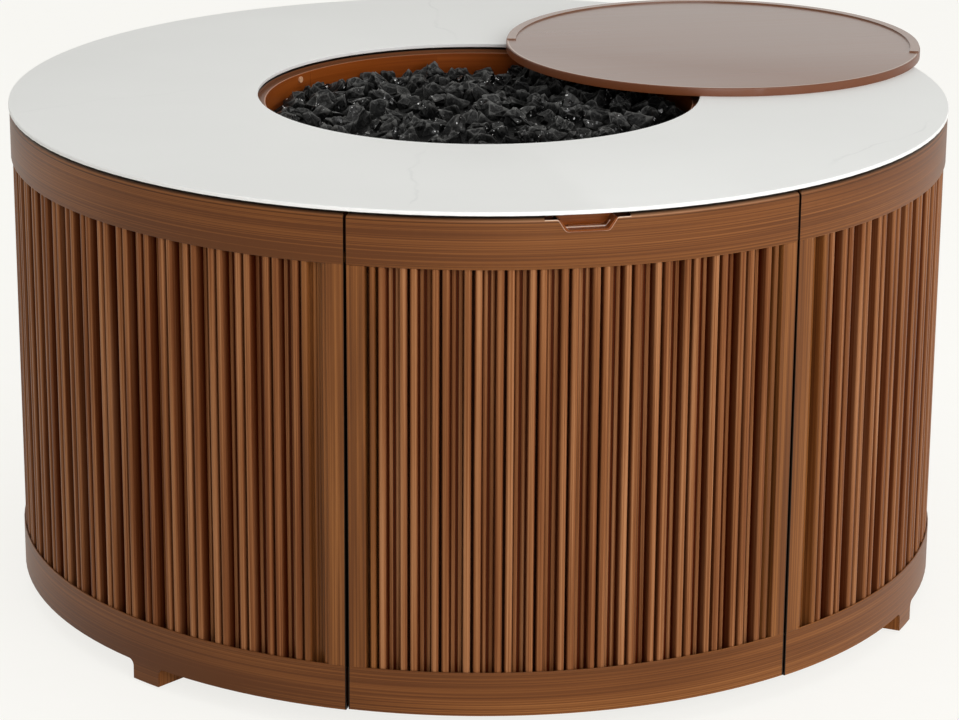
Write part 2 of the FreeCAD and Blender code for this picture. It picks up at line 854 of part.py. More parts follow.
def make_burner_ring():
    shape = burner_shape(0.0)
    for i in range(burner_ports):
        centre = at(burner_ring_radius, 360.0 * (i + 0.5) / burner_ports)
        shape = shape.cut(bar_z(port_radius, centre.x, centre.y, burner_z, burner_z + burner_tube_radius + 1))
    return one(shape)


def pilot_centre():
    return at(pilot_radius_from_axis, pilot_angle)


def make_pilot_bracket():
    """Small bracket with the spark electrode and the flame sensor in it."""
    c = pilot_centre()
    floor = box(c.x - 9, c.x + 9, c.y - 9, c.y + 9, pan_floor, pan_floor + 1.5)
    ear = box(c.x - 9, c.x + 9, c.y + 7.5, c.y + 9, pan_floor, pan_floor + 20)
    return one(floor.fuse(ear))


def make_spark_electrode():
    c = pilot_centre()
    rod = bar_z(3.0, c.x - 4.5, c.y, pan_floor + 1.5, pan_floor + 22)
    return one(rod.fuse(bar_z(1.0, c.x - 4.5, c.y, pan_floor + 22, pan_floor + 30)))


def make_flame_sensor():
    c = pilot_centre()
    return bar_z(2.2, c.x + 4.5, c.y, pan_floor + 1.5, pan_floor + 32)


def bed_height(radius):
    """Height of the bed's crowned top at a distance from the axis."""
    return bed_edge_z + bed_crown - (bed_curve - math.sqrt(bed_curve ** 2 - radius ** 2))


def make_stone_bed():
    """The packed stones under the top layer, as one solid with a crowned top."""
    wall = pan_radius - pan_sheet - seat_gap
    low = pan_floor
    shelf = pan_flange_top
    middle = bed_radius / 2
    top = FreeCAD.Vector(0, 0, bed_height(0.0))
    half = FreeCAD.Vector(middle, 0, bed_height(middle))
    edge = FreeCAD.Vector(bed_radius, 0, bed_height(bed_radius))
    line = [edge, FreeCAD.Vector(bed_radius, 0, shelf), FreeCAD.Vector(wall, 0, shelf),
            FreeCAD.Vector(wall, 0, low + 6.0), FreeCAD.Vector(wall - 6.0, 0, low),
            FreeCAD.Vector(0, 0, low), top]
    edges = [Part.Arc(top, half, edge).toShape()]
    edges += [Part.makeLine(a, b) for a, b in zip(line[:-1], line[1:])]
    bed = Part.Face(Part.Wire(edges)).revolve(origin, up, 360.0)
    c = pilot_centre()
    bed = bed.cut(burner_shape(burner_clearance))
    return one(bed.cut(bar_z(15.0, c.x, c.y, pan_floor, pan_floor + 36)))


def clip_polygon(polygon, normal, limit):
    """Part of a polygon where the dot product with normal is at most limit."""
    kept = []
    for i, here in enumerate(polygon):
        there = polygon[(i + 1) % len(polygon)]
        d_here = here[0] * normal[0] + here[1] * normal[1] - limit
        d_there = there[0] * normal[0] + there[1] * normal[1] - limit
        if d_here <= 0:
            kept.append(here)
        if d_here * d_there < 0:
            share = d_here / (d_here - d_there)
            kept.append((here[0] + share * (there[0] - here[0]), here[1] + share * (there[1] - here[1])))
    return kept


def stone_centres(chance):
    centres = []
    row_step = stone_pitch * math.sqrt(3) / 2
    rows = int(bed_radius / row_step) + 1
    for row in range(-rows, rows + 1):
        for column in range(-rows - 1, rows + 2):
            x = (column + 0.5 * (row % 2)) * stone_pitch + chance.uniform(-0.22, 0.22) * stone_pitch
            y = row * row_step + chance.uniform(-0.22, 0.22) * stone_pitch
            if math.hypot(x, y) < bed_radius - 0.4 * stone_pitch:
                centres.append((x, y))
    return centres


def faceted_stone(cell, centre, height, chance):
    """Closed stone on a cell of the bed: narrow foot, wide girdle and a smaller top."""
    cx, cy = centre
    radius = math.hypot(cx, cy)
    slope = -1 / math.sqrt(bed_curve ** 2 - radius ** 2)
    shift = (chance.uniform(-2, 2), chance.uniform(-2, 2))
    levels = ((0.82, 0.0, (0, 0)), (0.98, 0.4 * height, (0, 0)), (0.55, height, shift))
    rings = []
    for scale, rise, (sx, sy) in levels:
        loop = []
        for px, py in cell:
            x = cx + scale * (px - cx) + sx
            y = cy + scale * (py - cy) + sy
            tilt = slope * (cx * (x - cx) + cy * (y - cy))
            loop.append(FreeCAD.Vector(x, y, bed_height(radius) + 0.02 + rise + tilt))
        rings.append(loop)
    faces = [Part.Face(Part.makePolygon(rings[0] + rings[0][:1])),
             Part.Face(Part.makePolygon(rings[2] + rings[2][:1]))]
    count = len(cell)
    for lower, upper in ((rings[0], rings[1]), (rings[1], rings[2])):
        for i in range(count):
            j = (i + 1) % count
            faces.append(Part.Face(Part.makePolygon([lower[i], lower[j], upper[j], upper[i], lower[i]])))
    stone = Part.Solid(Part.Shell(faces))
    if stone.Volume < 0:
        stone.reverse()
    return stone


def make_top_stones():
    """Loose stones, one in each cell of an uneven honeycomb over the bed."""
    chance = random.Random(11)
    centres = stone_centres(chance)
    rim = [(math.cos(math.radians(15 * i)), math.sin(math.radians(15 * i))) for i in range(24)]
    stones = []
    for cx, cy in centres:
        reach = 1.6 * stone_pitch
        cell = [(cx - reach, cy - reach), (cx + reach, cy - reach),
                (cx + reach, cy + reach), (cx - reach, cy + reach)]
        for ox, oy in centres:
            gap = math.hypot(ox - cx, oy - cy)
            if 0 < gap < 2.6 * stone_pitch:
                normal = ((ox - cx) / gap, (oy - cy) / gap)
                middle = normal[0] * (ox + cx) / 2 + normal[1] * (oy + cy) / 2
                cell = clip_polygon(cell, normal, middle - stone_gap)
        for normal in rim:
            cell = clip_polygon(cell, normal, bed_radius - 2.5)
        rounded = [point for i, point in enumerate(cell)
                   if math.hypot(point[0] - cell[i - 1][0], point[1] - cell[i - 1][1]) > 2.0]
        if len(rounded) < 3:
            continue
        mean = (sum(p[0] for p in rounded) / len(rounded), sum(p[1] for p in rounded) / len(rounded))
        stones.append(faceted_stone(rounded, mean, chance.uniform(stone_low, stone_high), chance))
    return stones


def make_burner_inlet():
    """Fitting under the pan: a collar through the floor and a port facing the controls."""
    body = bar_z(inlet_radius + 3.0, 0, 0, pan_bottom - inlet_length, pan_bottom)
    body = body.fuse(bar_z(inlet_radius - 0.1, 0, 0, pan_bottom, pan_floor))
    return one(body.cut(bar_y(pipe_radius + 0.05, 0.0, -inlet_radius - 4, -4.0, pipe_z())))


def pipe_z():
    return pan_bottom - pipe_drop


def make_gas_pipe():
    """Rigid pipe from the valve to the fitting, straight runs with round bends."""
    start_y = -panel_distance + panel_sheet + valve_length
    points = [(valve_x, start_y - 6.0, valve_z), (valve_x, start_y + 60.0, valve_z),
              (valve_x, start_y + 110.0, pipe_z()), (valve_x, -100.0, pipe_z()),
              (0.0, -52.0, pipe_z()), (0.0, -4.5, pipe_z())]
    corners = [FreeCAD.Vector(*p) for p in points]
    edges = []
    begin = corners[0]
    for before, corner, after in zip(corners[:-2], corners[1:-1], corners[2:]):
        into = (before - corner).normalize()
        out = (after - corner).normalize()
        half = into.getAngle(out) / 2
        reach = pipe_bend / math.tan(half)
        bisector = (into + out).normalize()
        middle = corner + bisector * (pipe_bend / math.sin(half) - pipe_bend)
        edges.append(Part.makeLine(begin, corner + into * reach))
        edges.append(Part.Arc(corner + into * reach, middle, corner + out * reach).toShape())
        begin = corner + out * reach
    edges.append(Part.makeLine(begin, corners[-1]))
    path = Part.Wire(edges)
    section = Part.Wire([Part.makeCircle(pipe_radius, corners[0], FreeCAD.Vector(0, 1, 0))])
    return path.makePipeShell([section], True, False)


def make_heat_shield():
    shield = bar_z(shield_radius, 0, 0, shield_top - shield_sheet, shield_top)
    for angle in hanger_angles():
        c = at(hanger_circle_radius, angle)
        shield = shield.cut(bar_z(hanger_radius + 0.2, c.x, c.y, shield_top - shield_sheet, shield_top))
    return one(shield)


def make_shield_hangers():
    """Rods from the deck's brackets down to the shield, with a nut each side of it."""
    hangers = []
    high = deck_bottom - collar_sheet - bracket_drop
    for angle in hanger_angles():
        c = at(hanger_circle_radius, angle)
        low = shield_top - shield_sheet - hanger_nut_height - 4.0
        rod = bar_z(hanger_radius, c.x, c.y, low, high)
        under = bar_z(hanger_nut_radius, c.x, c.y, shield_top - shield_sheet - hanger_nut_height,
                      shield_top - shield_sheet)
        over = bar_z(hanger_nut_radius, c.x, c.y, shield_top, shield_top + hanger_nut_height)
        hangers.append(one(rod.fuse(under).fuse(over)))
    return hangers


def make_hanger_straps():
    """Straps under the deck that the hanger rods screw into."""
    straps = []
    low = deck_bottom - collar_sheet - bracket_drop
    for angle in hanger_angles():
        strap = box(-12, 12, -hanger_circle_radius - 12, -hanger_circle_radius + 6, low, low + 3.0)
        leg = box(-12, 12, -hanger_circle_radius - 12, -hanger_circle_radius - 9, low, deck_bottom)
        straps.append(turned(one(strap.fuse(leg)), angle))
    return straps


# Controls

def make_control_panel():
    half = panel_width / 2
    face = box(-half, half, -panel_distance, -panel_distance + panel_sheet, panel_bottom, panel_top)
    flange = box(-half, half, -panel_distance, -panel_distance + panel_flange,
                 panel_top - panel_sheet, panel_top)
    panel = face.fuse(flange)
    y0 = -panel_distance - 1
    y1 = -panel_distance + panel_sheet + 1
    panel = panel.cut(bar_y(stem_radius + 1.0, valve_x, y0, y1, valve_z))
    return one(panel.cut(bar_y(igniter_radius + 0.1, igniter_x, y0, y1, valve_z)))


def make_gas_valve():
    """Valve body behind the panel, with an outlet port and a boss for the hose fitting."""
    half = valve_size / 2
    y0 = -panel_distance + panel_sheet
    y1 = y0 + valve_length
    body = box(valve_x - half, valve_x + half, y0, y1 - 12, valve_z - half, valve_z + half)
    body = body.fuse(bar_y(10.0, valve_x, y1 - 12, y1, valve_z))
    body = body.cut(bar_y(stem_radius + stem_clearance, valve_x, y0, y0 + stem_room, valve_z))
    cap_room = spring_cap_length + 2 * stem_travel
    body = body.cut(bar_y(spring_cap_radius + stem_clearance, valve_x, y0, y0 + cap_room, valve_z))
    return one(body.cut(bar_y(pipe_radius + 0.05, valve_x, y1 - 6, y1, valve_z)))


def make_gas_inlet():
    """Threaded end that the gas hose screws onto, pointing down from the valve."""
    y = -panel_distance + panel_sheet + (valve_length - 12) / 2
    top = valve_z - valve_size / 2
    nut_low = top - gas_inlet_nut_height
    nut = bar_z(gas_inlet_nut_radius, valve_x, y, nut_low, top)
    return one(nut.fuse(bar_z(gas_inlet_radius, valve_x, y, nut_low - gas_inlet_length, nut_low)))


def make_valve_stem():
    y0 = -panel_distance - knob_gap - knob_depth / 2
    y1 = -panel_distance + panel_sheet + stem_room - 2 * stem_travel
    return bar_y(stem_radius, valve_x, y0, y1, valve_z)


def make_spring_cap():
    """Sliding cap in the valve's mouth that lets the knob be pushed in before it turns."""
    y0 = -panel_distance + panel_sheet + seat_gap
    cap = bar_y(spring_cap_radius, valve_x, y0, y0 + spring_cap_length, valve_z)
    return cap.cut(bar_y(stem_radius + stem_clearance, valve_x, y0, y0 + spring_cap_length, valve_z))


def make_control_knob():
    y1 = -panel_distance - knob_gap
    y0 = y1 - knob_depth
    knob = bar_y(knob_radius, valve_x, y0, y1, valve_z)
    knob = knob.makeFillet(2.0, [edge for edge in knob.Edges
                                 if abs(edge.CenterOfMass.y - y0) < 0.01])
    grip = box(valve_x - knob_grip_width / 2, valve_x + knob_grip_width / 2, y0 - knob_grip_height,
               y0 + 1.0, valve_z - knob_radius + 3, valve_z + knob_radius - 3)
    bore = bar_y(stem_radius, valve_x, y1 - knob_depth / 2, y1, valve_z)
    return one(knob.fuse(grip).cut(bore))


def make_igniter_body():
    """Spark unit: a bezel in front of the panel and a barrel behind it."""
    face = -panel_distance
    barrel = bar_y(igniter_radius, igniter_x, face, face + panel_sheet + igniter_length, valve_z)
    bezel = bar_y(igniter_bezel_radius, igniter_x, face - igniter_bezel, face, valve_z)
    well = bar_y(button_radius + button_clearance, igniter_x, face - igniter_bezel,
                 face + button_travel + 8.0, valve_z)
    return one(barrel.fuse(bezel).cut(well))


def make_igniter_button():
    face = -panel_distance
    return bar_y(button_radius, igniter_x, face - igniter_bezel - button_proud,
                 face + 8.0 - button_clearance, valve_z)


# Tank holder

def make_tank_ring():
    ring_shape = ring(tank_ring_radius - tank_ring_sheet, tank_ring_radius, base_top,
                      base_top + tank_ring_height)
    return moved(ring_shape, y=tank_ring_y)


# Lid

def make_lid_pan():
    """Round cover with a turned-down edge, lying on the stone."""
    low = overall_height
    high = overall_height + lid_height
    inner = lid_radius - lid_sheet
    points = [(0, high - lid_sheet), (inner, high - lid_sheet), (inner, low), (lid_radius, low),
              (lid_radius, high), (0, high)]
    return moved(spun_profile(points, [0, 0, 0, 0, lid_edge_radius, 0]), x=lid_x, y=lid_y)


def make_lid_rim():
    """Raised strip round the far part of the lid."""
    low = overall_height + lid_height
    outer = lid_radius - lid_edge_radius
    strip = sector(outer - lid_rim_width, outer, lid_rim_start, lid_rim_end, low, low + lid_rim_height)
    return moved(strip, x=lid_x, y=lid_y)


def build():
    os.makedirs("parts", exist_ok=True)
    save("stone_top", [make_stone_top()])
    save("top_pads", make_top_pads())
    save("top_deck", [make_top_deck()])
    save("deck_ribs", make_deck_ribs())
    save("base_plate", [make_base_plate()])
    save("frame_posts", make_posts())
    save("feet", make_feet())
    save("foot_pads", make_foot_pads())
    for name, side in (("left", -1), ("right", 1)):
        save(name + "_top_band", [make_side_top_band(side)])
        save(name + "_bottom_band", [make_side_bottom_band(side)])
        first = side_first_gap + pitch_angle / 2
        last = side_last_gap - pitch_angle / 2
        save(name + "_slats", make_slats(first if side > 0 else -last, side_slats_count))
        save(name + "_front_stile", [make_side_front_stile(side)])
        save(name + "_rear_stile", [make_side_rear_stile(side)])
        start, end = (fixed_start, fixed_end) if side > 0 else (-fixed_end, -fixed_start)
        save(name + "_liner", [make_liner(start, end, base_bottom)])
    save("rear_splice", [make_rear_splice()])
    save("door_top_band", [make_door_top_band()])
    save("door_bottom_band", [make_door_bottom_band()])
    save("door_slats", make_slats(-(door_slats_count - 1) / 2 * pitch_angle, door_slats_count))
    save("door_left_stile", [make_door_stile(-1)])
    save("door_right_stile", [make_door_stile(1)])
    save("door_liner", [make_door_liner()])
    save("finger_pull", [make_finger_pull()])
    save("catch_plates", make_catch_plates())
    save("door_magnets", make_door_magnets())
    save("sill_pins", make_sill_pins())
    save("sill_brackets", make_sill_brackets())
    save("sill_bushes", make_sill_bushes())
    save("fire_bowl_collar", [make_collar()])
    save("collar_brackets", make_collar_brackets())
    save("collar_screws", make_collar_screws())
    save("burner_pan", [make_burner_pan()])
    save("burner_ring", [make_burner_ring()])
    save("burner_inlet", [make_burner_inlet()])
    save("pilot_bracket", [make_pilot_bracket()])
    save("spark_electrode", [make_spark_electrode()])
    save("flame_sensor", [make_flame_sensor()])
    save("stone_bed", [make_stone_bed()])
    save("fire_stones", make_top_stones())
    save("gas_pipe", [make_gas_pipe()])
    save("heat_shield", [make_heat_shield()])
    save("shield_hangers", make_shield_hangers())
    save("hanger_straps", make_hanger_straps())
    save("control_panel", [make_control_panel()])
    save("gas_valve", [make_gas_valve()])
    save("gas_inlet", [make_gas_inlet()])
    save("valve_stem", [make_valve_stem()])
    save("valve_spring_cap", [make_spring_cap()])
    save("control_knob", [make_control_knob()])
    save("igniter_body", [make_igniter_body()])
    save("igniter_button", [make_igniter_button()])
    save("tank_ring", [make_tank_ring()])
    save("lid_pan", [make_lid_pan()])
    save("lid_rim", [make_lid_rim()])


build()
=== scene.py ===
# %% [markdown]
# # A round fire pit table
#
# The object is a drum of brown, wood-grained metal slats under a ring of pale stone. Dark broken
# stones lie in the bowl in its middle, and the bowl's round cover lies to one side on the stone.
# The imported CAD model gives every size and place. This script gives the finish: it swaps some
# of the solids for finer meshes, paints everything, and sets up the light and the camera.

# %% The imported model
import json
import math
import random

import bmesh
import bpy
from mathutils import Matrix, Vector, noise

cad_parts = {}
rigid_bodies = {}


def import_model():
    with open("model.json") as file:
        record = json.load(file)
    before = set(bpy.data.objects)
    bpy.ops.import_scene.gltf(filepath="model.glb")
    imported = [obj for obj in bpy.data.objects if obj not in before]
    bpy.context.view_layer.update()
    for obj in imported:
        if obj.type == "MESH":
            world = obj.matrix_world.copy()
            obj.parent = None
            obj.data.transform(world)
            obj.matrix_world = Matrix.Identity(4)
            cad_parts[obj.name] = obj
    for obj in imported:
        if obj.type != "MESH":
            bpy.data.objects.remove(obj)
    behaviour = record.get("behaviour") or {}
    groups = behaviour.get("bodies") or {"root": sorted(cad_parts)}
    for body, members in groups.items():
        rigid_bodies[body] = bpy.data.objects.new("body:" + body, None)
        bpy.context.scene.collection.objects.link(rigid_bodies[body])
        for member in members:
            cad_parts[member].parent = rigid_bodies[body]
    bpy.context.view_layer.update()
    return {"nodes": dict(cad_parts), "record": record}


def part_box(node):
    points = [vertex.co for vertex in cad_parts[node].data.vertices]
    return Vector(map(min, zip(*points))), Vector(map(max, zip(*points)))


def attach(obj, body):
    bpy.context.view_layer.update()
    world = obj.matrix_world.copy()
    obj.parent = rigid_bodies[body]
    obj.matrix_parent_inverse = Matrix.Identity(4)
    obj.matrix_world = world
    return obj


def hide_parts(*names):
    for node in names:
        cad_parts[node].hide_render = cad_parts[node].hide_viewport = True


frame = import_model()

nodes = frame["nodes"]
scene = bpy.context.scene
scene.view_settings.view_transform = "Standard"
print("CAD nodes:", len(nodes))

# %% [markdown]
# ## Sizes
#
# A scene stays easy to follow when each size has one name. Sizes are in metres, in the CAD
# model's own frame: the drum's axis is the Z axis, the floor is at zero, and the door faces -Y.
# Where a solid's box gives a size, it is read from there. The other sizes repeat the model's.

# %% Sizes that several pieces share
MM = 0.001
FACE_RADIUS = 599 * MM
SLAT_FACE = 596.7 * MM
SLAT_DEPTH = 17 * MM
SLAT_BACK = SLAT_FACE - SLAT_DEPTH
BOWL_RADIUS = 273.7 * MM
HEAP_MIDDLE = 612 * MM
HEAP_CROWN = 13 * MM
TOP_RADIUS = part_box("stone_top")[1].x
BAND_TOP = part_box("door_top_band")[1].z
LID_LOW, LID_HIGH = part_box("lid_pan")
LID_CENTRE = (LID_LOW + LID_HIGH) / 2
LID_RADIUS = (LID_HIGH.x - LID_LOW.x) / 2
print("top %.1f mm across, cover at %.3f %.3f m" % (TOP_RADIUS * 2000, LID_CENTRE.x, LID_CENTRE.y))

# %% [markdown]
# ## The camera
#
# A photograph keeps the traces of the camera that took it. The ellipses of the table's top, hole
# and rims give its distance, height and tilt. A camera that is placed by eye fits one of them
# and misses the others, so this one was fitted to all at once. The lens is long, about 127 mm
# on a full frame, so the drum shows little perspective.

# %% Camera
PHOTO_WIDTH = 959
FOCAL_PIXELS = 3375.74
CAMERA_DISTANCE = 4.2444
CAMERA_HEIGHT = 1.6233
CAMERA_TURN = math.radians(-11.96)
CAMERA_YAW = 0.00074
CAMERA_PITCH = 0.30727
CAMERA_ROLL = 0.00609


def placed(name, data):
    """A new object in the scene."""
    thing = bpy.data.objects.new(name, data)
    scene.collection.objects.link(thing)
    return thing


camera_data = bpy.data.cameras.new("camera")
camera_data.lens = FOCAL_PIXELS / PHOTO_WIDTH * camera_data.sensor_width
camera = placed("camera", camera_data)
scene.camera = camera

heading = CAMERA_TURN - CAMERA_YAW
ahead = Vector((-math.sin(heading), math.cos(heading), 0)) * math.cos(CAMERA_PITCH)
ahead.z = -math.sin(CAMERA_PITCH)
right = ahead.cross(Vector((0, 0, 1))).normalized()
roll = Matrix.Rotation(-CAMERA_ROLL, 3, ahead)
right = roll @ right
overhead = right.cross(ahead)
camera.matrix_world = Matrix((
    (right.x, overhead.x, -ahead.x, CAMERA_DISTANCE * math.sin(CAMERA_TURN)),
    (right.y, overhead.y, -ahead.y, -CAMERA_DISTANCE * math.cos(CAMERA_TURN)),
    (right.z, overhead.z, -ahead.z, CAMERA_HEIGHT),
    (0, 0, 0, 1)))
print("lens %.1f mm, %.2f m from the axis" % (camera_data.lens, CAMERA_DISTANCE))

# %% [markdown]
# ## Writing materials as sums
#
# A material in Blender is a tree of nodes. It can be drawn by hand in the shader editor, but
# maths takes many nodes there. Two small classes let Python write it as sums instead. The first,
# `Number`, turns + - * / into Math nodes.

# %% Sums that become nodes
class Number:
    """A number that changes over the surface. Sums with it add Math nodes."""

    def __init__(self, finish, socket):
        self.finish = finish
        self.socket = socket

    def __add__(self, other):
        return self.finish.maths("ADD", self, other)

    def __sub__(self, other):
        return self.finish.maths("SUBTRACT", self, other)

    def __mul__(self, other):
        return self.finish.maths("MULTIPLY", self, other)

    def __truediv__(self, other):
        return self.finish.maths("DIVIDE", self, other)

    def __rsub__(self, other):
        return self.finish.maths("SUBTRACT", other, self)

    def __abs__(self):
        return self.finish.maths("ABSOLUTE", self)

    __radd__ = __add__
    __rmul__ = __mul__


# %% [markdown]
# The second class, `Finish`, holds the tree. Its `add` makes any node from its type, its settings
# and the values of its sockets. The other methods are short names for the nodes used most.

# %% A tree of shader nodes
class Finish:
    """The shader nodes of a material or of the world."""

    def __init__(self, owner):
        owner.use_nodes = True
        self.owner = owner
        self.tree = owner.node_tree
        self.tree.nodes.clear()

    def add(self, kind, settings=None, values=None, out=0):
        """Adds a node and returns one of its outputs."""
        node = self.tree.nodes.new("ShaderNode" + kind)
        for name, value in (settings or {}).items():
            if name == "stops":
                self.set_stops(node.color_ramp, value)
            else:
                setattr(node, name, value)
        for name, value in (values or {}).items():
            if isinstance(value, Number):
                self.tree.links.new(value.socket, node.inputs[name])
            else:
                node.inputs[name].default_value = value
        return Number(self, node.outputs[out]) if len(node.outputs) else None

    def set_stops(self, ramp, stops):
        while len(ramp.elements) < len(stops):
            ramp.elements.new(0.5)
        for element, (place, colour) in zip(ramp.elements, stops):
            element.position = place
            element.color = (*colour, 1)

    def maths(self, operation, first, second=0.0, clamp=False):
        return self.add("Math", {"operation": operation, "use_clamp": clamp}, {0: first, 1: second})

    def place(self):
        return self.add("TexCoord", out="Object")

    def parts(self, vector):
        return [self.add("SeparateXYZ", values={0: vector}, out=axis) for axis in range(3)]

    def join(self, x, y, z):
        return self.add("CombineXYZ", values={0: x, 1: y, 2: z})

    def noise(self, vector, scale, detail=3.0, rough=0.5, twist=0.0):
        return self.add("TexNoise", values={"Vector": vector, "Scale": scale, "Detail": detail,
                                            "Roughness": rough, "Distortion": twist})

    def ramp(self, amount, stops):
        return self.add("ValToRGB", {"stops": stops}, {0: amount})

    def attribute(self, name):
        """A number that the mesh holds for each of its points."""
        return self.add("Attribute", {"attribute_name": name}, out="Fac")

    def ray(self, kind):
        """1 where light is traced from a camera, a mirror or a clear thing, and 0 elsewhere."""
        return self.add("LightPath", out="Is %s Ray" % kind)

    def span(self, amount, low, high, to_low=0.0, to_high=1.0):
        """Maps low..high to another span, and holds it there."""
        return self.add("MapRange", {"interpolation_type": "SMOOTHSTEP"},
                        {0: amount, 1: low, 2: high, 3: to_low, 4: to_high})

    def mix(self, share, first, second):
        """Mixes two colours: the first at share 0, and the second at share 1."""
        return self.add("Mix", {"data_type": "RGBA"}, {0: share, 6: first, 7: second}, out=2)

    def bump(self, height, strength, depth):
        return self.add("Bump", values={"Height": height, "Strength": strength, "Distance": depth})

    def surface(self, **values):
        """Ends the tree in a Principled shader. An underscore in a name stands for a space."""
        plain = {name.replace("_", " "): value for name, value in values.items()}
        shader = self.add("BsdfPrincipled", values=plain)
        self.add("OutputMaterial", values={"Surface": shader})
        return self.owner


def new_finish(name):
    return Finish(bpy.data.materials.new(name))


# %% [markdown]
# Colours are easiest to judge as they show on a screen, from 0 to 255. Shaders work with linear
# light, so each colour is converted once, on its way into the tree.

# %% Colours
def rgb(red, green, blue):
    """Linear colour for a colour as it shows on a screen."""
    return tuple(((c / 255 + 0.055) / 1.055) ** 2.4 if c > 10 else c / 255 / 12.92
                 for c in (red, green, blue))


def rgba(red, green, blue):
    return (*rgb(red, green, blue), 1)


# %% [markdown]
# ## Brown paint with a wood grain
#
# The metal is painted brown, and a darker glaze is brushed over it in long streaks, so that it
# looks like stained wood. The streaks follow each piece: round the drum on the bands, and
# upright on the slats. A picture of wood would have to be fitted to every piece. Noise needs no
# fitting: stretched a hundred times along the grain it gives the streaks, and a second, slower
# noise gives light and dark patches.

# %% The grain
def round_the_drum(finish, centre=(0.0, 0.0)):
    """(length round an upright axis, height, distance from the axis), in metres."""
    x, y, z = finish.parts(finish.place())
    x, y = x - centre[0], y - centre[1]
    turn = finish.maths("ARCTAN2", x, y * -1)
    reach = finish.maths("SQRT", x * x + y * y)
    return turn * FACE_RADIUS, z, reach


def grain_place(finish, direction, fine):
    """Coordinates for the streaks and for the patches, stretched along the grain."""
    along, height, reach = round_the_drum(finish)
    if direction == "round":
        return (finish.join(along * 1.4, height * 700 * fine, reach * 700 * fine),
                finish.join(along * 1.9, height * 14, reach * 14))
    if direction == "upright":
        return (finish.join(along * 640 * fine, height * 2.2, reach * 400 * fine),
                finish.join(along * 55, height * 1.8, reach * 20))
    x, y, z = finish.parts(finish.place())
    return finish.join(x * 2.5, y * 260 * fine, z * 160), finish.join(x * 2.0, y * 9, z * 9)


# %% [markdown]
# Painted shade and painted highlights change the paint in a few places, where the light falls
# unevenly over the drum. Each of these helpers takes the colour so far and mixes one such change
# over it. They measure where a point lies on the drum, so no picture has to be laid on the metal,
# and the change stays in place when a piece is made again.

# %% Changes over the grain
# Colours of painted light: a highlight line on round edges, a highlight on a band's lip, and the
# shade in a band's groove.
EDGE_HIGHLIGHT = (236, 214, 192)
LIP_HIGHLIGHT = (196, 146, 110)
GROOVE_SHADE = (52, 22, 8)
SEAM_MIDDLE = math.radians(26.49) * FACE_RADIUS


def painted_left_shade(finish):
    """Painted shade: 1 on the drum's left front, where less light falls, and 0 elsewhere and on the
    feet.
    """
    x, y, height = finish.parts(finish.place())
    left = finish.span(x, -0.6, -0.48) * finish.span(x, -0.42, -0.02, 1.0, 0.0)
    return left * finish.span(height, 22 * MM, 34 * MM)


def edge_light_and_shade(finish, colour, edge):
    """Painted light at a round edge: another colour past it, where the surface turns another way to
    the light, and a painted highlight line along it.
    """
    reach = round_the_drum(finish, edge["centre"])[2]
    past = finish.span(reach, edge["start"], edge["end"])
    from_line = abs(reach - (edge["start"] - 0.71 * edge["line"]))
    line = finish.span(from_line, 0.0, edge["line"], edge["light"], 0.0)
    colour = finish.mix(past, colour, rgba(*edge["colour"]))
    return finish.mix(line, colour, rgba(*EDGE_HIGHLIGHT)), past


def under_the_slab(finish, colour, crease):
    """Painted shade of a groove near a band's upper edge, a painted highlight on the lip above it,
    and painted shade under the slab.
    """
    x, y, height = finish.parts(finish.place())
    groove_shade = finish.span(abs(height - crease), 0.0, 1.3 * MM, 0.7, 0.0)
    shine = finish.span(x, -0.2, 0.0) * finish.span(x, 0.18, 0.3, 0.32, 0.0) + 0.1
    lip_highlight = finish.span(height, crease + MM, crease + 2 * MM) * shine
    shade = finish.span(height, crease + 1.6 * MM, crease + 6 * MM)
    colour = finish.mix(lip_highlight, colour, rgba(*LIP_HIGHLIGHT))
    colour = finish.mix(shade, colour, rgba(14, 4, 0))
    return finish.mix(groove_shade, colour, rgba(*GROOVE_SHADE))


def beside_the_seams(finish, colour):
    """Shade along the door's two seams, a millimetre wider at the floor than at the top."""
    along, height, reach = round_the_drum(finish)
    away = abs(abs(along) - SEAM_MIDDLE)
    wider = finish.span(height, 0.1, 0.6, 1.0 * MM, 0.0)
    shade = finish.span(away - wider, 1.5 * MM, 2.2 * MM, 1.0, 0.0)
    return finish.mix(shade, colour, rgba(10, 3, 0))


# %% [markdown]
# The paint itself is one function. A ramp of three browns takes the noise, the changes above go
# over it, and slats also get a tone of their own and dark glaze with painted shade in their
# grooves. Both come with the mesh, as attributes.

# %% Wood-grain paint
GRAIN = ((96, 53, 24), (125, 74, 35), (151, 96, 51))
# Dark glaze and painted shade for the slats' grooves.
GLAZE_AND_SHADE = (72, 20, 1)
WARM = (1.0, 0.8, 0.62, 1.0)


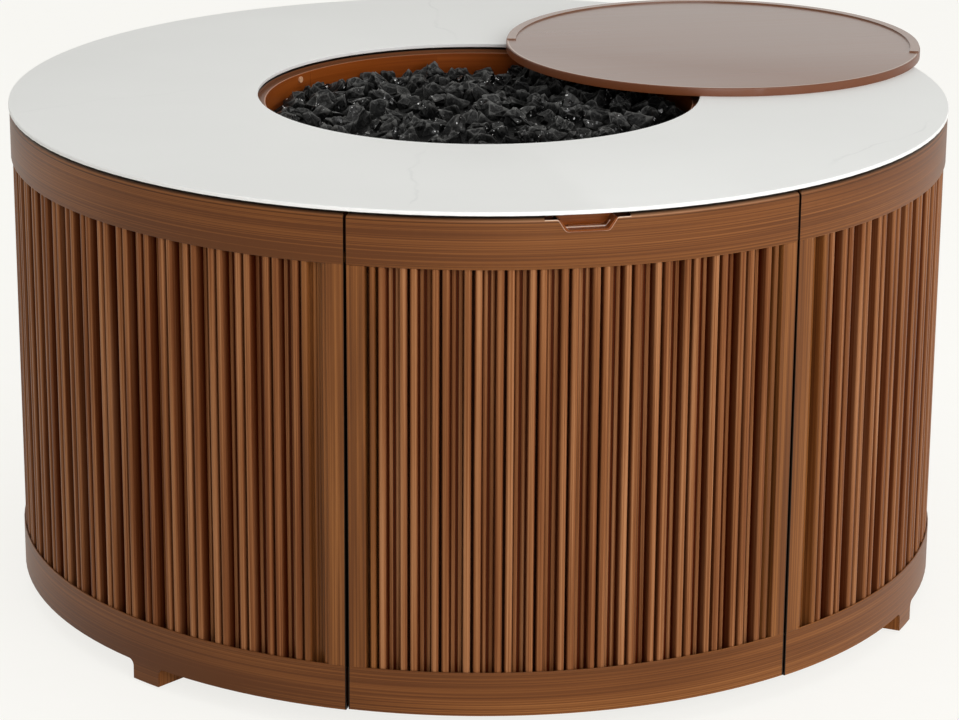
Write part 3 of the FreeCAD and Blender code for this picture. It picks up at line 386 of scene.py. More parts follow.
def wood_paint(name, direction, grain=GRAIN, rough=0.36, fine=1.0, sheen=0.3, tint=WARM, coat=0.0,
               left_shade=0.0, edge=None, shade_above=None, crease=None, seams=False, toned=False):
    finish = new_finish(name)
    streaks, patches = grain_place(finish, direction, fine)
    streak = finish.noise(streaks, 1.0, detail=3.0, rough=0.55)
    patch = finish.noise(patches, 1.0, detail=2.0)
    tone = finish.span(streak * 0.6 + patch * 0.4, 0.34, 0.68)
    if toned:
        tone = tone + finish.attribute("tone") * 0.16 - 0.08
    # Painted shade on the drum's left front.
    if left_shade:
        tone = tone - painted_left_shade(finish) * left_shade
    dark, middle, light = grain
    colour = finish.ramp(tone, [(0.0, rgb(*dark)), (0.5, rgb(*middle)), (1.0, rgb(*light))])
    # Painted light past a round edge, and a painted highlight line along it.
    if edge:
        colour, past = edge_light_and_shade(finish, colour, edge)
        coat = (1 - past) * coat if coat else coat
    # Painted shade on the bowl above a height, under the slab.
    if shade_above:
        slab_shade = finish.span(finish.parts(finish.place())[2], shade_above, shade_above + 0.8 * MM)
        colour = finish.mix(slab_shade, colour, rgba(12, 4, 1))
    # Painted shade in the band's groove and under the slab, and a painted highlight on its lip.
    if crease:
        colour = under_the_slab(finish, colour, crease)
    if seams:
        colour = beside_the_seams(finish, colour)
    # Dark glaze with painted shade in the slats' grooves.
    if toned:
        colour = finish.mix(1 - finish.attribute("shown"), colour, rgba(*GLAZE_AND_SHADE))
    return finish.surface(Base_Color=colour, Roughness=rough + streak * 0.12 - 0.06,
                          Normal=finish.bump(streak, 0.12, 0.0003), Specular_IOR_Level=sheen,
                          Specular_Tint=tint, Coat_Weight=coat, Coat_Roughness=0.16)


# %% [markdown]
# The same paint looks different from piece to piece. The bowl has more orange, the cover is plain
# and glossy, and the rolled edge of the finger pull is painted pale, as a painted highlight. The
# feet get a lighter copy, as painted light. The bowl's ledge and the cover's rounded edge turn
# another way to the light than the rest, so they get their own painted colour and a painted
# highlight line. Each of these is one call with other colours, which is quicker to tune than a
# tree of nodes per piece.

# %% The painted pieces
CLEAR = (1.0, 1.0, 1.0, 1.0)
# Heights of the painted shade in the bands' groove, and of the painted shade on the bowl under the
# slab.
CREASE_HEIGHT = BAND_TOP - 6.5 * MM
SLAB_SHADE_HEIGHT = 631.6 * MM
LEDGE_RADIUS = 275.6 * MM
# Painted light at two round edges: past the bowl's ledge and past the cover's rounded edge the
# surface turns another way to the light and gets its own painted colour, with a painted highlight
# line along the edge.
LEDGE_SHADING = {"centre": (0.0, 0.0), "start": LEDGE_RADIUS, "end": LEDGE_RADIUS + 1.0 * MM,
         "colour": (112, 68, 42), "light": 0.4, "line": 0.8 * MM}
LID_EDGE_SHADING = {"centre": LID_CENTRE.xy, "start": LID_RADIUS - 1.6 * MM, "end": LID_RADIUS - 0.6 * MM,
            "colour": (116, 64, 34), "light": 0.5, "line": 1.4 * MM}

# The bands get painted shade on the drum's left front and beside the seams, and painted groove shade
# and a painted lip highlight under the slab.
paint_round = wood_paint("paint_round_the_drum", "round", left_shade=0.42, seams=True,
                         crease=CREASE_HEIGHT)
paint_upright = wood_paint("paint_upright", "upright", fine=0.8, seams=True)
paint_slats = wood_paint("paint_slats", "upright", ((108, 60, 33), (143, 91, 55), (175, 121, 82)),
                         sheen=0.16, tint=(1.0, 0.66, 0.42, 1.0), toned=True)
# The feet get a lighter copy of the upright paint, as painted light.
paint_feet = wood_paint("paint_on_the_feet", "upright",
                        ((112, 62, 28), (142, 86, 42), (166, 107, 60)), sheen=0.2)
paint_bowl = wood_paint("paint_bowl", "round", ((116, 54, 16), (132, 64, 20), (146, 75, 27)),
                        rough=0.3, fine=0.2, sheen=0.14, edge=LEDGE_SHADING, shade_above=SLAB_SHADE_HEIGHT)
paint_lid = wood_paint("paint_lid", "flat", ((116, 74, 51), (120, 77, 54), (124, 80, 56)),
                       rough=0.3, sheen=0.5, tint=CLEAR, coat=0.5, edge=LID_EDGE_SHADING)
paint_lid_rim = wood_paint("paint_on_the_lid_rim", "round",
                           ((126, 84, 60), (132, 90, 66), (138, 96, 72)),
                           rough=0.3, sheen=0.5, tint=CLEAR, coat=0.6)
paint_pull = wood_paint("paint_in_the_pull", "round", ((112, 54, 16), (130, 64, 20), (146, 76, 28)),
                        rough=0.25, sheen=0.4)
# Pale paint on the pull's roll and bead: a painted highlight.
paint_highlight_roll = wood_paint("paint_highlight_on_the_roll", "round",
                       ((176, 132, 102), (206, 162, 132), (232, 194, 166)),
                       rough=0.16, sheen=1.0, tint=CLEAR, coat=1.0)
print("painted finishes:", sum(m.name.startswith("paint") for m in bpy.data.materials))

# %% [markdown]
# ## Pale stone
#
# The top is a thin slab of sintered stone: cool pale grey, honed, with a few long faint veins.
# Noise alone would put veins anywhere, so each vein has two end points. The shader measures the
# distance from the line between them, a noise shakes that distance so that the line wanders, and
# a second noise lets it fade out. The slab's sawn edge gets a painted highlight: it is painted
# brighter than its face, because it looks straight at the light.

# %% Stone for the top
VEINS = [((0.047, 0.581), (0.029, 0.294)), ((-0.134, -0.294), (-0.202, -0.54)),
         ((0.328, -0.455), (0.532, -0.262)), ((-0.588, -0.011), (-0.364, 0.071))]
VEIN_HALF_WIDTH = 3.5 * MM
VEIN_STRENGTH = 0.22


def vein(finish, x, y, shake, start, end):
    """Strength of one vein: 1 on the line from start to end, and 0 away from it."""
    span = Vector(end) - Vector(start)
    ahead = span.normalized()
    across = (x - start[0]) * -ahead.y + (y - start[1]) * ahead.x + shake
    along = ((x - start[0]) * ahead.x + (y - start[1]) * ahead.y) / span.length
    line = finish.span(abs(across), 0.0, VEIN_HALF_WIDTH, 1.0, 0.0)
    return line * finish.span(abs(along - 0.5), 0.42, 0.56, 1.0, 0.0)


def slab_stone():
    finish = new_finish("pale_stone")
    place = finish.place()
    x, y, z = finish.parts(place)
    shake = (finish.noise(place, 9.0, detail=4.0) - 0.5) * 0.07
    fade = finish.span(finish.noise(place, 14.0, detail=2.0), 0.35, 0.7, 0.25, 1.0)
    veins = 0.0
    for start, end in VEINS:
        veins = vein(finish, x, y, shake, start, end) + veins
    cloud = finish.noise(place, 3.0, detail=3.0)
    colour = finish.ramp(cloud, [(0.3, rgb(237, 238, 237)), (0.7, rgb(241, 242, 241))])
    colour = finish.mix(veins * fade * VEIN_STRENGTH, colour, rgba(196, 199, 200))
    reach = finish.maths("SQRT", x * x + y * y)
    # Painted highlight: the slab's outer edge is painted near white.
    side = finish.span(reach, TOP_RADIUS - 1.2 * MM, TOP_RADIUS - 0.2 * MM)
    colour = finish.mix(side, colour, rgba(255, 255, 254))
    speck = finish.noise(place, 900, detail=1.0)
    return finish.surface(Base_Color=colour, Roughness=0.45 + speck * 0.08,
                          Normal=finish.bump(speck, 0.05, 0.0002), Specular_IOR_Level=0.3)


stone_paint = slab_stone()
print("pale stone:", len(VEINS), "veins,", len(stone_paint.node_tree.nodes), "nodes")


# %% [markdown]
# ## Dark broken stone
#
# The stones in the bowl are near black. Some faces are dull and some are glassy. Painted glints
# stand for small crystals that flash white, and the sharp edges get a light grey painted
# highlight. Little light gets in between the stones, so faces that look sideways and stones that
# lie deep get painted shade. Noise in the bump breaks the faces up, because crumbs as real
# shapes would take millions of faces.

# %% Stone for the bowl
def lava_stone():
    finish = new_finish("dark_broken_stone")
    place = finish.place()
    crumbs = finish.noise(place, 210, detail=6.0, rough=0.62)
    fold = finish.noise(place, 75, detail=3.0, rough=0.6, twist=1.2)
    patches = finish.noise(place, 38, detail=2.0)
    colour = finish.ramp(crumbs, [(0.32, rgb(24, 24, 24)), (0.55, rgb(58, 58, 58)),
                                  (0.78, rgb(126, 126, 124))])
    # Painted highlight in light grey on the sharp edges.
    worn = finish.span(finish.attribute("worn"), 0.7, 1.0)
    colour = finish.mix(worn * 0.42, colour, rgba(136, 136, 134))
    turned_away = finish.span(finish.attribute("up"), 0.1, 0.9, 0.8, 0.0)
    colour = finish.mix(turned_away, colour, rgba(6, 6, 6))
    x, y, z = finish.parts(place)
    over_heap = z - HEAP_MIDDLE + (x * x + y * y) * (HEAP_CROWN / BOWL_RADIUS ** 2)
    deep = finish.span(over_heap, -5 * MM, 17 * MM, 0.97, 0.0)
    colour = finish.mix(deep, colour, rgba(2, 2, 2))
    glassy = finish.span(patches, 0.56, 0.62)
    # Painted glints: tiny white specks on the glassy patches stand for flashing crystals.
    painted_glint = finish.span(finish.noise(place, 300, detail=0.0), 0.75, 0.77) * glassy
    colour = finish.mix(glassy * 0.8, colour, rgba(4, 4, 5))
    colour = finish.mix(painted_glint, colour, rgba(255, 255, 255))
    return finish.surface(Base_Color=colour, Roughness=0.5 - glassy * 0.2,
                          Normal=finish.bump(crumbs * 0.6 + fold * 1.2, 0.9, 0.004),
                          Specular_IOR_Level=0.12, Coat_Weight=glassy * 0.8, Coat_Roughness=0.12)


dark_stone = lava_stone()
print("dark stone:", len(dark_stone.node_tree.nodes), "nodes")


# %% [markdown]
# ## Plain metals, plastics and rubber
#
# Pieces behind the door get honest, simple finishes: zinc sheet, stainless steel, brass, black
# powder coat, plastics and rubber. One function makes them all, and a little noise in
# the colour and the roughness keeps each of them from looking flat.

# %% Finishes for the hidden pieces
def plain_finish(name, colour, rough, metal=0.0, scale=60.0, change=0.12, grain=(1, 1, 1),
                 bump=0.05, sheen=0.5):
    finish = new_finish(name)
    x, y, z = finish.parts(finish.place())
    mottle = finish.noise(finish.join(x * grain[0], y * grain[1], z * grain[2]), scale, detail=4.0)
    low = tuple(c * (1 - change) for c in rgb(*colour))
    high = tuple(min(c * (1 + change), 1) for c in rgb(*colour))
    shade = finish.ramp(mottle, [(0.3, low), (0.7, high)])
    return finish.surface(Base_Color=shade, Roughness=rough + mottle * 0.12 - 0.06, Metallic=metal,
                          Normal=finish.bump(mottle, bump, 0.0005), Specular_IOR_Level=sheen)


finishes = {
    "galvanised": plain_finish("zinc_sheet", (176, 180, 184), 0.42, metal=1.0, scale=38.0,
                               change=0.18),
    "screw_steel": plain_finish("zinc_fasteners", (190, 190, 192), 0.3, metal=1.0, scale=300.0),
    "stainless": plain_finish("stainless", (180, 178, 174), 0.32, metal=1.0, grain=(1, 1, 12)),
    "brass": plain_finish("brass", (196, 158, 84), 0.3, metal=1.0, scale=120.0),
    "black_steel": plain_finish("black_coat", (20, 18, 17), 0.6, scale=500.0, bump=0.2),
    "rubber": plain_finish("rubber", (24, 24, 25), 0.75, scale=200.0, bump=0.2),
    "black_plastic": plain_finish("black_plastic", (26, 26, 27), 0.45, scale=900.0, bump=0.15),
    "red_plastic": plain_finish("red_plastic", (168, 22, 18), 0.25, scale=40.0, bump=0.02),
    "magnet": plain_finish("magnet_case", (30, 30, 32), 0.5, scale=300.0),
    "ceramic": plain_finish("ceramic", (236, 232, 222), 0.2, scale=80.0, change=0.03,
                            bump=0.02),
    "stone": stone_paint,
    "bronze_steel": paint_round,
    "bronze_slats": paint_upright,
    "bowl_steel": paint_bowl,
    "lid_steel": paint_lid,
    "lava_stone": dark_stone,
}


# %% [markdown]
# The imported model names a material slot for each piece, so one loop dresses them all. Two sorts
# of piece then get another finish than their slot's: the liners behind the slats are dull brown
# instead of black, and the bowl's small screws are painted warm and pale instead of grey, as a
# painted highlight.

# %% Dressing the CAD pieces
def dress(thing, material):
    thing.data.materials.clear()
    thing.data.materials.append(material)


slot_of = {part["node"]: part["material_slot"] for part in frame["record"]["subparts"]}
for name, thing in nodes.items():
    dress(thing, finishes[slot_of[name]])
liner_coat = plain_finish("liner_coat", (66, 32, 16), 0.75, scale=500.0, bump=0.1, sheen=0.1)
for liner in ("left_liner", "right_liner", "door_liner"):
    dress(nodes[liner], liner_coat)
# The bowl's screws are painted warm and pale, as a painted highlight.
bright_screws = plain_finish("bright_screws", (206, 158, 124), 0.16, scale=300.0)
dress(nodes["collar_screws"], bright_screws)
print("pieces dressed:", len(nodes), "from", len(finishes), "slots")

# %% [markdown]
# ## Smoother copies of the CAD pieces
#
# A CAD mesh is loose triangles, so light shows each one as a flat facet. A copy with its
# corners merged can be shaded smooth, with sharp edges only where two faces meet steeply.

# %% Copies with smooth shading
def body_of(node):
    """The moving body that a CAD piece belongs to."""
    for body, members in frame["record"]["behaviour"]["bodies"].items():
        if node in members:
            return body


def finish_piece(thing, body, slot, *replaced):
    """Attaches a new piece to the body it moves with, and hides the CAD nodes that it replaces."""
    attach(thing, body)
    if replaced:
        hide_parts(*replaced)


def shade(mesh, angle=32):
    for face in mesh.polygons:
        face.use_smooth = True
    mesh.set_sharp_from_angle(angle=math.radians(angle))


def smooth_copy(node, material):
    mesh = nodes[node].data.copy()
    work = bmesh.new()
    work.from_mesh(mesh)
    bmesh.ops.remove_doubles(work, verts=work.verts, dist=2e-6)
    bmesh.ops.dissolve_degenerate(work, edges=work.edges, dist=1e-6)
    work.to_mesh(mesh)
    work.free()
    if "custom_normal" in mesh.attributes:
        mesh.attributes.remove(mesh.attributes["custom_normal"])
    shade(mesh)
    copy = placed(node + "_shown", mesh)
    dress(copy, material)
    finish_piece(copy, body_of(node), slot_of[node], node)
    return copy


# %% [markdown]
# The bands, stiles, stone, bowl, finger pull, cover and feet are copied, and so are some round
# pieces behind the door. Two sorts of copy also change: a stile's ribs run on behind the bands,
# and the cover's rim is drawn lower. Moving points of the copy is enough for both.

# %% The copies
SLAT_TUCK = 10 * MM
RIM_SHARE = 0.42


def tuck_behind_bands(mesh):
    """Lets a stile's ribs run on behind the bands, as the slats do. Its flat bar isn't moved."""
    heights = [v.co.z for v in mesh.vertices]
    low, high = min(heights), max(heights)
    for vert in mesh.vertices:
        if math.hypot(vert.co.x, vert.co.y) < SLAT_FACE + 0.1 * MM:
            if vert.co.z < low + MM:
                vert.co.z -= SLAT_TUCK
            elif vert.co.z > high - MM:
                vert.co.z += SLAT_TUCK


def flatten_rim(mesh):
    """Draws the lid's rim as low as it looks. The solid stands a little higher."""
    low = min(v.co.z for v in mesh.vertices)
    for vert in mesh.vertices:
        vert.co.z = low + (vert.co.z - low) * RIM_SHARE


for side in ("left_", "right_", "door_"):
    for band in ("top_band", "bottom_band"):
        smooth_copy(side + band, paint_round)
for stile in ("left_front_stile", "left_rear_stile", "right_front_stile", "right_rear_stile",
              "door_left_stile", "door_right_stile"):
    tuck_behind_bands(smooth_copy(stile, paint_upright).data)
for node, finish in (("stone_top", stone_paint), ("fire_bowl_collar", paint_bowl),
                     ("finger_pull", paint_pull), ("feet", paint_feet), ("lid_pan", paint_lid)):
    smooth_copy(node, finish)
flatten_rim(smooth_copy("lid_rim", paint_lid_rim).data)
for hidden in ("burner_pan", "gas_pipe", "control_knob", "gas_valve", "tank_ring", "heat_shield"):
    smooth_copy(hidden, finishes[slot_of[hidden]])

# %% [markdown]
# ## Slats
#
# Ninety-three slats stand round the drum. They are all the same bar: two tall ribs with two low
# ridges between them. Dark glaze with painted shade fills the grooves, and each bar has a tone of
# its own. Copies of the solids would have the right shape, but nothing in them says where the
# glaze and shade lie. So they are made again from one section, whose points say how much bare,
# lit paint shows there.
#
# A rounded corner is an arc that touches both sides. Blender's Bevel modifier makes such arcs on
# whole meshes. For a flat outline a short sum does it, and each corner has its own radius.

# %% Round corners
def rounded(points, radii, steps=5):
    """An outline with its corners rounded. A radius of 0 leaves a corner as it is."""
    outline = []
    for i, corner in enumerate(points):
        corner = Vector(corner)
        into = (Vector(points[i - 1]) - corner).normalized()
        out = (Vector(points[(i + 1) % len(points)]) - corner).normalized()
        if radii[i] == 0:
            outline.append(corner)
            continue
        half = into.angle(out) / 2
        start = corner + into * (radii[i] / math.tan(half))
        end = corner + out * (radii[i] / math.tan(half))
        centre = corner + (into + out).normalized() * (radii[i] / math.sin(half))
        first = start - centre
        sweep = first.angle_signed(end - centre)
        for k in range(steps + 1):
            outline.append(centre + Matrix.Rotation(-sweep * k / steps, 2) @ first)
    return outline


# %% [markdown]
# Now the section is a list of corners with their radii. It is made into one flat face with the
# value that says how much bare, lit paint shows, and how much glaze and painted shade.

# %% Slat section
SLAT_PITCH = 36.93 * MM
SLAT_WIDTH = SLAT_PITCH - 3.5 * MM
RIB = 8.7 * MM
RIB_ROUND = 3.3 * MM
EDGE_GROOVE = 1.4 * MM
MIDDLE_GROOVE = 2.8 * MM
WEB = 2.4 * MM
RIDGE_TOP = 4.4 * MM
RIDGE_ROUND = 1.5 * MM


def slat_section():
    """Two tall ribs with two low ridges between them."""
    half = SLAT_WIDTH / 2
    valley = half - RIB
    near = MIDDLE_GROOVE / 2
    far = valley - EDGE_GROOVE
    points = [(-half, 0), (half, 0), (half, SLAT_DEPTH), (valley, SLAT_DEPTH), (valley, WEB)]
    radii = [0, 0, RIB_ROUND, RIB_ROUND, 0]
    for start, end in ((far, near), (-near, -far)):
        points += [(start, WEB), (start, RIDGE_TOP), (end, RIDGE_TOP), (end, WEB)]
        radii += [0, RIDGE_ROUND, RIDGE_ROUND, 0]
    points += [(-valley, WEB), (-valley, SLAT_DEPTH), (-half, SLAT_DEPTH)]
    radii += [0, RIB_ROUND, RIB_ROUND]
    return rounded(points, radii)


def lit_paint_share(depth):
    """How much of the bare, lit paint shows at a depth over the slat's back. Dark glaze and painted
    shade cover the rest.
    """
    if depth < RIDGE_TOP + 0.01 * MM:
        return max(depth - WEB, 0) / (RIDGE_TOP - WEB)
    side_shown = 0.45
    return side_shown + (1 - side_shown) * max(0, depth - SLAT_DEPTH + RIB_ROUND) / RIB_ROUND


def mark_points(mesh, name, values):
    """Keeps a number with each point of a mesh, for a material or a tree to read."""
    mesh.attributes.new(name, "FLOAT", "POINT").data.foreach_set("value", values)


def section_mesh(name, outline, height):
    """One flat face at a height, facing down, with its depth measured from the slats' back."""
    mesh = bpy.data.meshes.new(name)
    places = [(p.x, -SLAT_BACK - p.y, height) for p in outline]
    mesh.from_pydata(places, [], [list(range(len(places)))])
    mark_points(mesh, "shown", [lit_paint_share(p.y) for p in outline])
    return mesh


# %% [markdown]
# Geometry Nodes make many copies from one piece. An Array modifier could do that too, but it
# can't give each copy a tone or a size of its own. A short class builds such a tree of nodes
# from Python, as `Finish` does for materials.

# %% Helpers for Geometry Nodes
class Tree:
    """A Geometry Nodes tree under construction."""

    def __init__(self, name, inputs):
        self.group = bpy.data.node_groups.new(name, "GeometryNodeTree")
        face = self.group.interface
        face.new_socket("Geometry", in_out="INPUT", socket_type="NodeSocketGeometry")
        for title, kind in inputs:
            face.new_socket(title, in_out="INPUT", socket_type="NodeSocket" + kind)
        face.new_socket("Geometry", in_out="OUTPUT", socket_type="NodeSocketGeometry")
        self.start = self.group.nodes.new("NodeGroupInput")
        self.end = self.group.nodes.new("NodeGroupOutput")

    def add(self, kind, settings=None, values=None):
        node = self.group.nodes.new(kind)
        for name, value in (settings or {}).items():
            setattr(node, name, value)
        for name, value in (values or {}).items():
            if isinstance(value, bpy.types.NodeSocket):
                self.group.links.new(value, node.inputs[name])
            else:
                node.inputs[name].default_value = value
        return node

    def given(self, title):
        return self.start.outputs[title]

    def store(self, name, geometry, value, domain):
        """Keeps a number with each point or copy, for a material to read."""
        return self.add("GeometryNodeStoreNamedAttribute", {"data_type": "FLOAT", "domain": domain}, {
            "Geometry": geometry, "Name": name, "Value": value})

    def finish(self, geometry):
        """Gives the result its material, and ends the tree."""
        painted = self.add("GeometryNodeSetMaterial", values={
            "Geometry": geometry, "Material": self.given("Material")})
        self.group.links.new(painted.outputs[0], self.end.inputs["Geometry"])
        return self.group


# %% [markdown]
# This tree makes a whole row from the slats' section: it extrudes the section upwards, sets a
# copy on each of a row of points, and turns each copy one step further round the drum's axis.
# Each copy also gets a random tone, because no two slats take the glaze alike.

# %% A tree that stands copies round the drum
def standing_row_tree():
    tree = Tree("standing_row", [("Count", "Int"), ("First Angle", "Float"),
                                 ("Pitch Angle", "Float"), ("Height", "Float"), ("Seed", "Int"),
                                 ("Material", "Material")])
    up = tree.add("ShaderNodeCombineXYZ", values={"Z": tree.given("Height")})
    walls = tree.add("GeometryNodeExtrudeMesh", values={
        "Mesh": tree.given("Geometry"), "Offset": up.outputs[0], "Offset Scale": 1.0,
        "Individual": False})
    bar = tree.add("GeometryNodeJoinGeometry")
    tree.group.links.new(walls.outputs[0], bar.inputs[0])
    tree.group.links.new(tree.given("Geometry"), bar.inputs[0])
    closed = tree.add("GeometryNodeMergeByDistance", values={0: bar.outputs[0], "Distance": 1e-6})
    points = tree.add("GeometryNodePoints", values={"Count": tree.given("Count")})
    row = tree.add("GeometryNodeInstanceOnPoints", values={
        "Points": points.outputs[0], "Instance": closed.outputs[0]})
    index = tree.add("GeometryNodeInputIndex")
    steps = tree.add("ShaderNodeMath", {"operation": "MULTIPLY_ADD"}, {
        0: index.outputs[0], 1: tree.given("Pitch Angle"), 2: tree.given("First Angle")})
    turn = tree.add("ShaderNodeCombineXYZ", values={"Z": steps.outputs[0]})
    turned = tree.add("GeometryNodeRotateInstances", values={
        "Instances": row.outputs[0], "Rotation": turn.outputs[0], "Local Space": False})
    chance = tree.add("FunctionNodeRandomValue", {"data_type": "FLOAT"}, {
        "Seed": tree.given("Seed")})
    toned = tree.store("tone", turned.outputs[0], chance.outputs[1], "INSTANCE")
    real = tree.add("GeometryNodeRealizeInstances", values={0: toned.outputs[0]})
    return tree.finish(real.outputs[0])


standing_row = standing_row_tree()
print("nodes for a row of slats:", len(standing_row.nodes))


def final_mesh(thing):
    """A plain mesh of what an object looks like after its modifiers or its bevel."""
    graph = bpy.context.evaluated_depsgraph_get()
    return bpy.data.meshes.new_from_object(thing.evaluated_get(graph))


def grown(name, mesh, group, values):
    """Runs a tree, with values by name, on a mesh. Returns an object with the result."""
    thing = placed(name, mesh)
    modifier = thing.modifiers.new("grow", "NODES")
    modifier.node_group = group
    for item in group.interface.items_tree:
        if item.item_type == "SOCKET" and item.in_out == "INPUT" and item.name in values:
            modifier[item.identifier] = values[item.name]
    made = final_mesh(thing)
    thing.modifiers.clear()
    thing.data = made
    dress(thing, values["Material"])
    return thing


# %% [markdown]
# ## Finger pull
#
# The door's finger pull is a notch in its upper band with a pressed cup behind it. The notch's
# edge is rolled over, and a bead in the cup catches the light. Both are glossy and painted pale,
# as a painted highlight. A curve follows each of the two lines, and its bevel gives it
# thickness: that is less work than a mesh, and the line stays easy to move.

# %% A bar along a line
def shining_roll(name, places, thickness):
    """A round bar through some points, glossy and painted pale as a painted highlight."""
    curve = bpy.data.curves.new(name, "CURVE")
    curve.dimensions = "3D"
    curve.bevel_depth = thickness
    curve.bevel_resolution = 3
    curve.use_fill_caps = True
    line = curve.splines.new("POLY")
    line.points.add(len(places) - 1)
    for point, place in zip(line.points, places):
        point.co = (*place, 1)
    path = placed(name + "_path", curve)
    mesh = final_mesh(path)
    bpy.data.objects.remove(path)
    piece = placed(name, mesh)
    shade(mesh, 60)
    dress(piece, paint_highlight_roll)
    finish_piece(piece, "door", "bronze_steel")
    print(name, len(mesh.polygons), "faces")


# %% [markdown]
# Both lines start as a few corners, seen from the front, which are then rounded. The notch's
# line is bent onto the drum's face, and the bead lies straight across the cup.

# %% The notch's edge and the cup's bead
NOTCH_TOP = BAND_TOP - 4 * MM
NOTCH_LOW = BAND_TOP - 18 * MM
NOTCH_TOP_HALF = 34.3 * MM
NOTCH_LOW_HALF = 25.3 * MM
STEP_HALF = 50 * MM
ROLL_RADIUS = 0.8 * MM
ROLL_SET_IN = 0.6 * MM
BEAD_RADIUS = 1.2 * MM
BEAD_DISTANCE = 587 * MM
BEAD_LOW = NOTCH_LOW + 2.2 * MM


def on_the_face(outline):
    """Bends a flat outline onto the door's round face, just inside it."""
    radius = FACE_RADIUS - ROLL_SET_IN
    return [(p.x, -math.sqrt(radius ** 2 - p.x ** 2), p.y) for p in outline]


notch = rounded([(-STEP_HALF, NOTCH_TOP), (-NOTCH_TOP_HALF, NOTCH_TOP), (-NOTCH_LOW_HALF, NOTCH_LOW),
                 (NOTCH_LOW_HALF, NOTCH_LOW), (NOTCH_TOP_HALF, NOTCH_TOP), (STEP_HALF, NOTCH_TOP)],
                [0, 4 * MM, 6 * MM, 6 * MM, 4 * MM, 0])
shining_roll("finger_pull_roll", on_the_face(notch), ROLL_RADIUS)
bead = rounded([(-27.8 * MM, NOTCH_LOW + 6 * MM), (-25.4 * MM, BEAD_LOW), (24.2 * MM, BEAD_LOW),
                (28.4 * MM, NOTCH_LOW + 8.5 * MM)], [0, 2 * MM, 3 * MM, 0])
shining_roll("finger_pull_bead", [(p.x, -BEAD_DISTANCE, p.y) for p in bead], BEAD_RADIUS)

# %% [markdown]
# ## The rows of slats
#
# The door has 13 slats and each side has 40. Each row stands where its CAD solids stand. Angles
# could be typed here, but the script reads the row's two ends from the solids and centres the
# slats between them, so that a row still fits when the model changes.

# %% The three rows of slats
ROWS = {"door": ("door", 13), "right": ("table", 40), "left": ("table", 40)}
PITCH_ANGLE = SLAT_PITCH / SLAT_FACE
FIRST_SEED = 3


def row_ends(node):
    """Angles of a row's two ends, read from the CAD solids."""
    turns = [math.atan2(v.co.x, -v.co.y) for v in nodes[node].data.vertices]
    if node.startswith("right"):
        turns = [turn + math.tau if turn < 0 else turn for turn in turns]
    if node.startswith("left"):
        turns = [turn - math.tau if turn > 0 else turn for turn in turns]
    return min(turns), max(turns)


slat_low, slat_high = (corner.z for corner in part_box("door_slats"))
for seed, (side, (body, count)) in enumerate(ROWS.items(), FIRST_SEED):
    node = side + "_slats"
    middle = sum(row_ends(node)) / 2
    first = middle - (count - 1) / 2 * PITCH_ANGLE
    mesh = section_mesh(node + "_section", slat_section(), slat_low)
    slats = grown(node + "_shown", mesh, standing_row, {
        "Count": count, "First Angle": first, "Pitch Angle": PITCH_ANGLE,
        "Height": slat_high - slat_low, "Seed": seed, "Material": paint_slats})
    shade(slats.data, 40)
    finish_piece(slats, body, "bronze_slats", node)
    print(node, len(slats.data.polygons), "faces")

# %% [markdown]
# ## Broken stones
#
# Each stone in the bowl is a small rough block with flat broken faces. Scans of real stones would
# look better close up, but they are heavy. Instead a few different blocks are made once, each
# the hull of some random points. The hull's faces are cut finer, scooped out and crumpled, as
# broken glass or lava is, and its sharp edges are marked for a painted highlight.

# %% A few different blocks
BLOCK_COUNT = 12
HULL_POINTS = 14
LONG, WIDE, HIGH = 1.15, 0.92, 0.78
SHARP_CORNER_ANGLE = 0.3
SCOOP = 0.09
CRUMPLE = 0.11


def sharpest_angle(vert):
    """The largest angle between two faces that meet at a corner."""
    return max(one.normal.angle(other.normal) for one in vert.link_faces
               for other in vert.link_faces)


def broken_block(name, chance):
    """A hull of random points, whose faces are then scooped out and crumpled."""
    work = bmesh.new()
    for _ in range(HULL_POINTS):
        way = Vector([chance.gauss(0, 1) for _ in range(3)]).normalized()
        place = Vector((way.x * LONG, way.y * WIDE, way.z * HIGH))
        work.verts.new(place * chance.uniform(0.86, 1.0))
    hull = bmesh.ops.convex_hull(work, input=work.verts)
    inside = hull["geom_interior"] + hull["geom_unused"]
    loose = {part for part in inside if isinstance(part, bmesh.types.BMVert)}
    bmesh.ops.delete(work, geom=list(loose), context="VERTS")
    bmesh.ops.recalc_face_normals(work, faces=work.faces)
    bmesh.ops.subdivide_edges(work, edges=work.edges, cuts=3, use_grid_fill=True)
    work.normal_update()
    # Sharp corners are marked for the painted highlight, and are left out of the scoop.
    worn = [float(sharpest_angle(vert) > SHARP_CORNER_ANGLE) for vert in work.verts]
    shift = Vector([chance.uniform(-50, 50) for _ in range(3)])
    for vert, edge in zip(work.verts, worn):
        crumple = noise.fractal((vert.co + shift) * 2.4, 0.7, 2.0, 3)
        vert.co -= vert.normal * (SCOOP * (1 - edge) + crumple * CRUMPLE)
    mesh = bpy.data.meshes.new(name)
    work.to_mesh(mesh)
    work.free()
    mark_points(mesh, "worn", worn)
    shade(mesh, 30)
    return bpy.data.objects.new(name, mesh)


# %% [markdown]
# A second tree sets one of the blocks on every point of the heap, turned at random and as large
# as the point says. It also stores how far each face looks up, for the material.

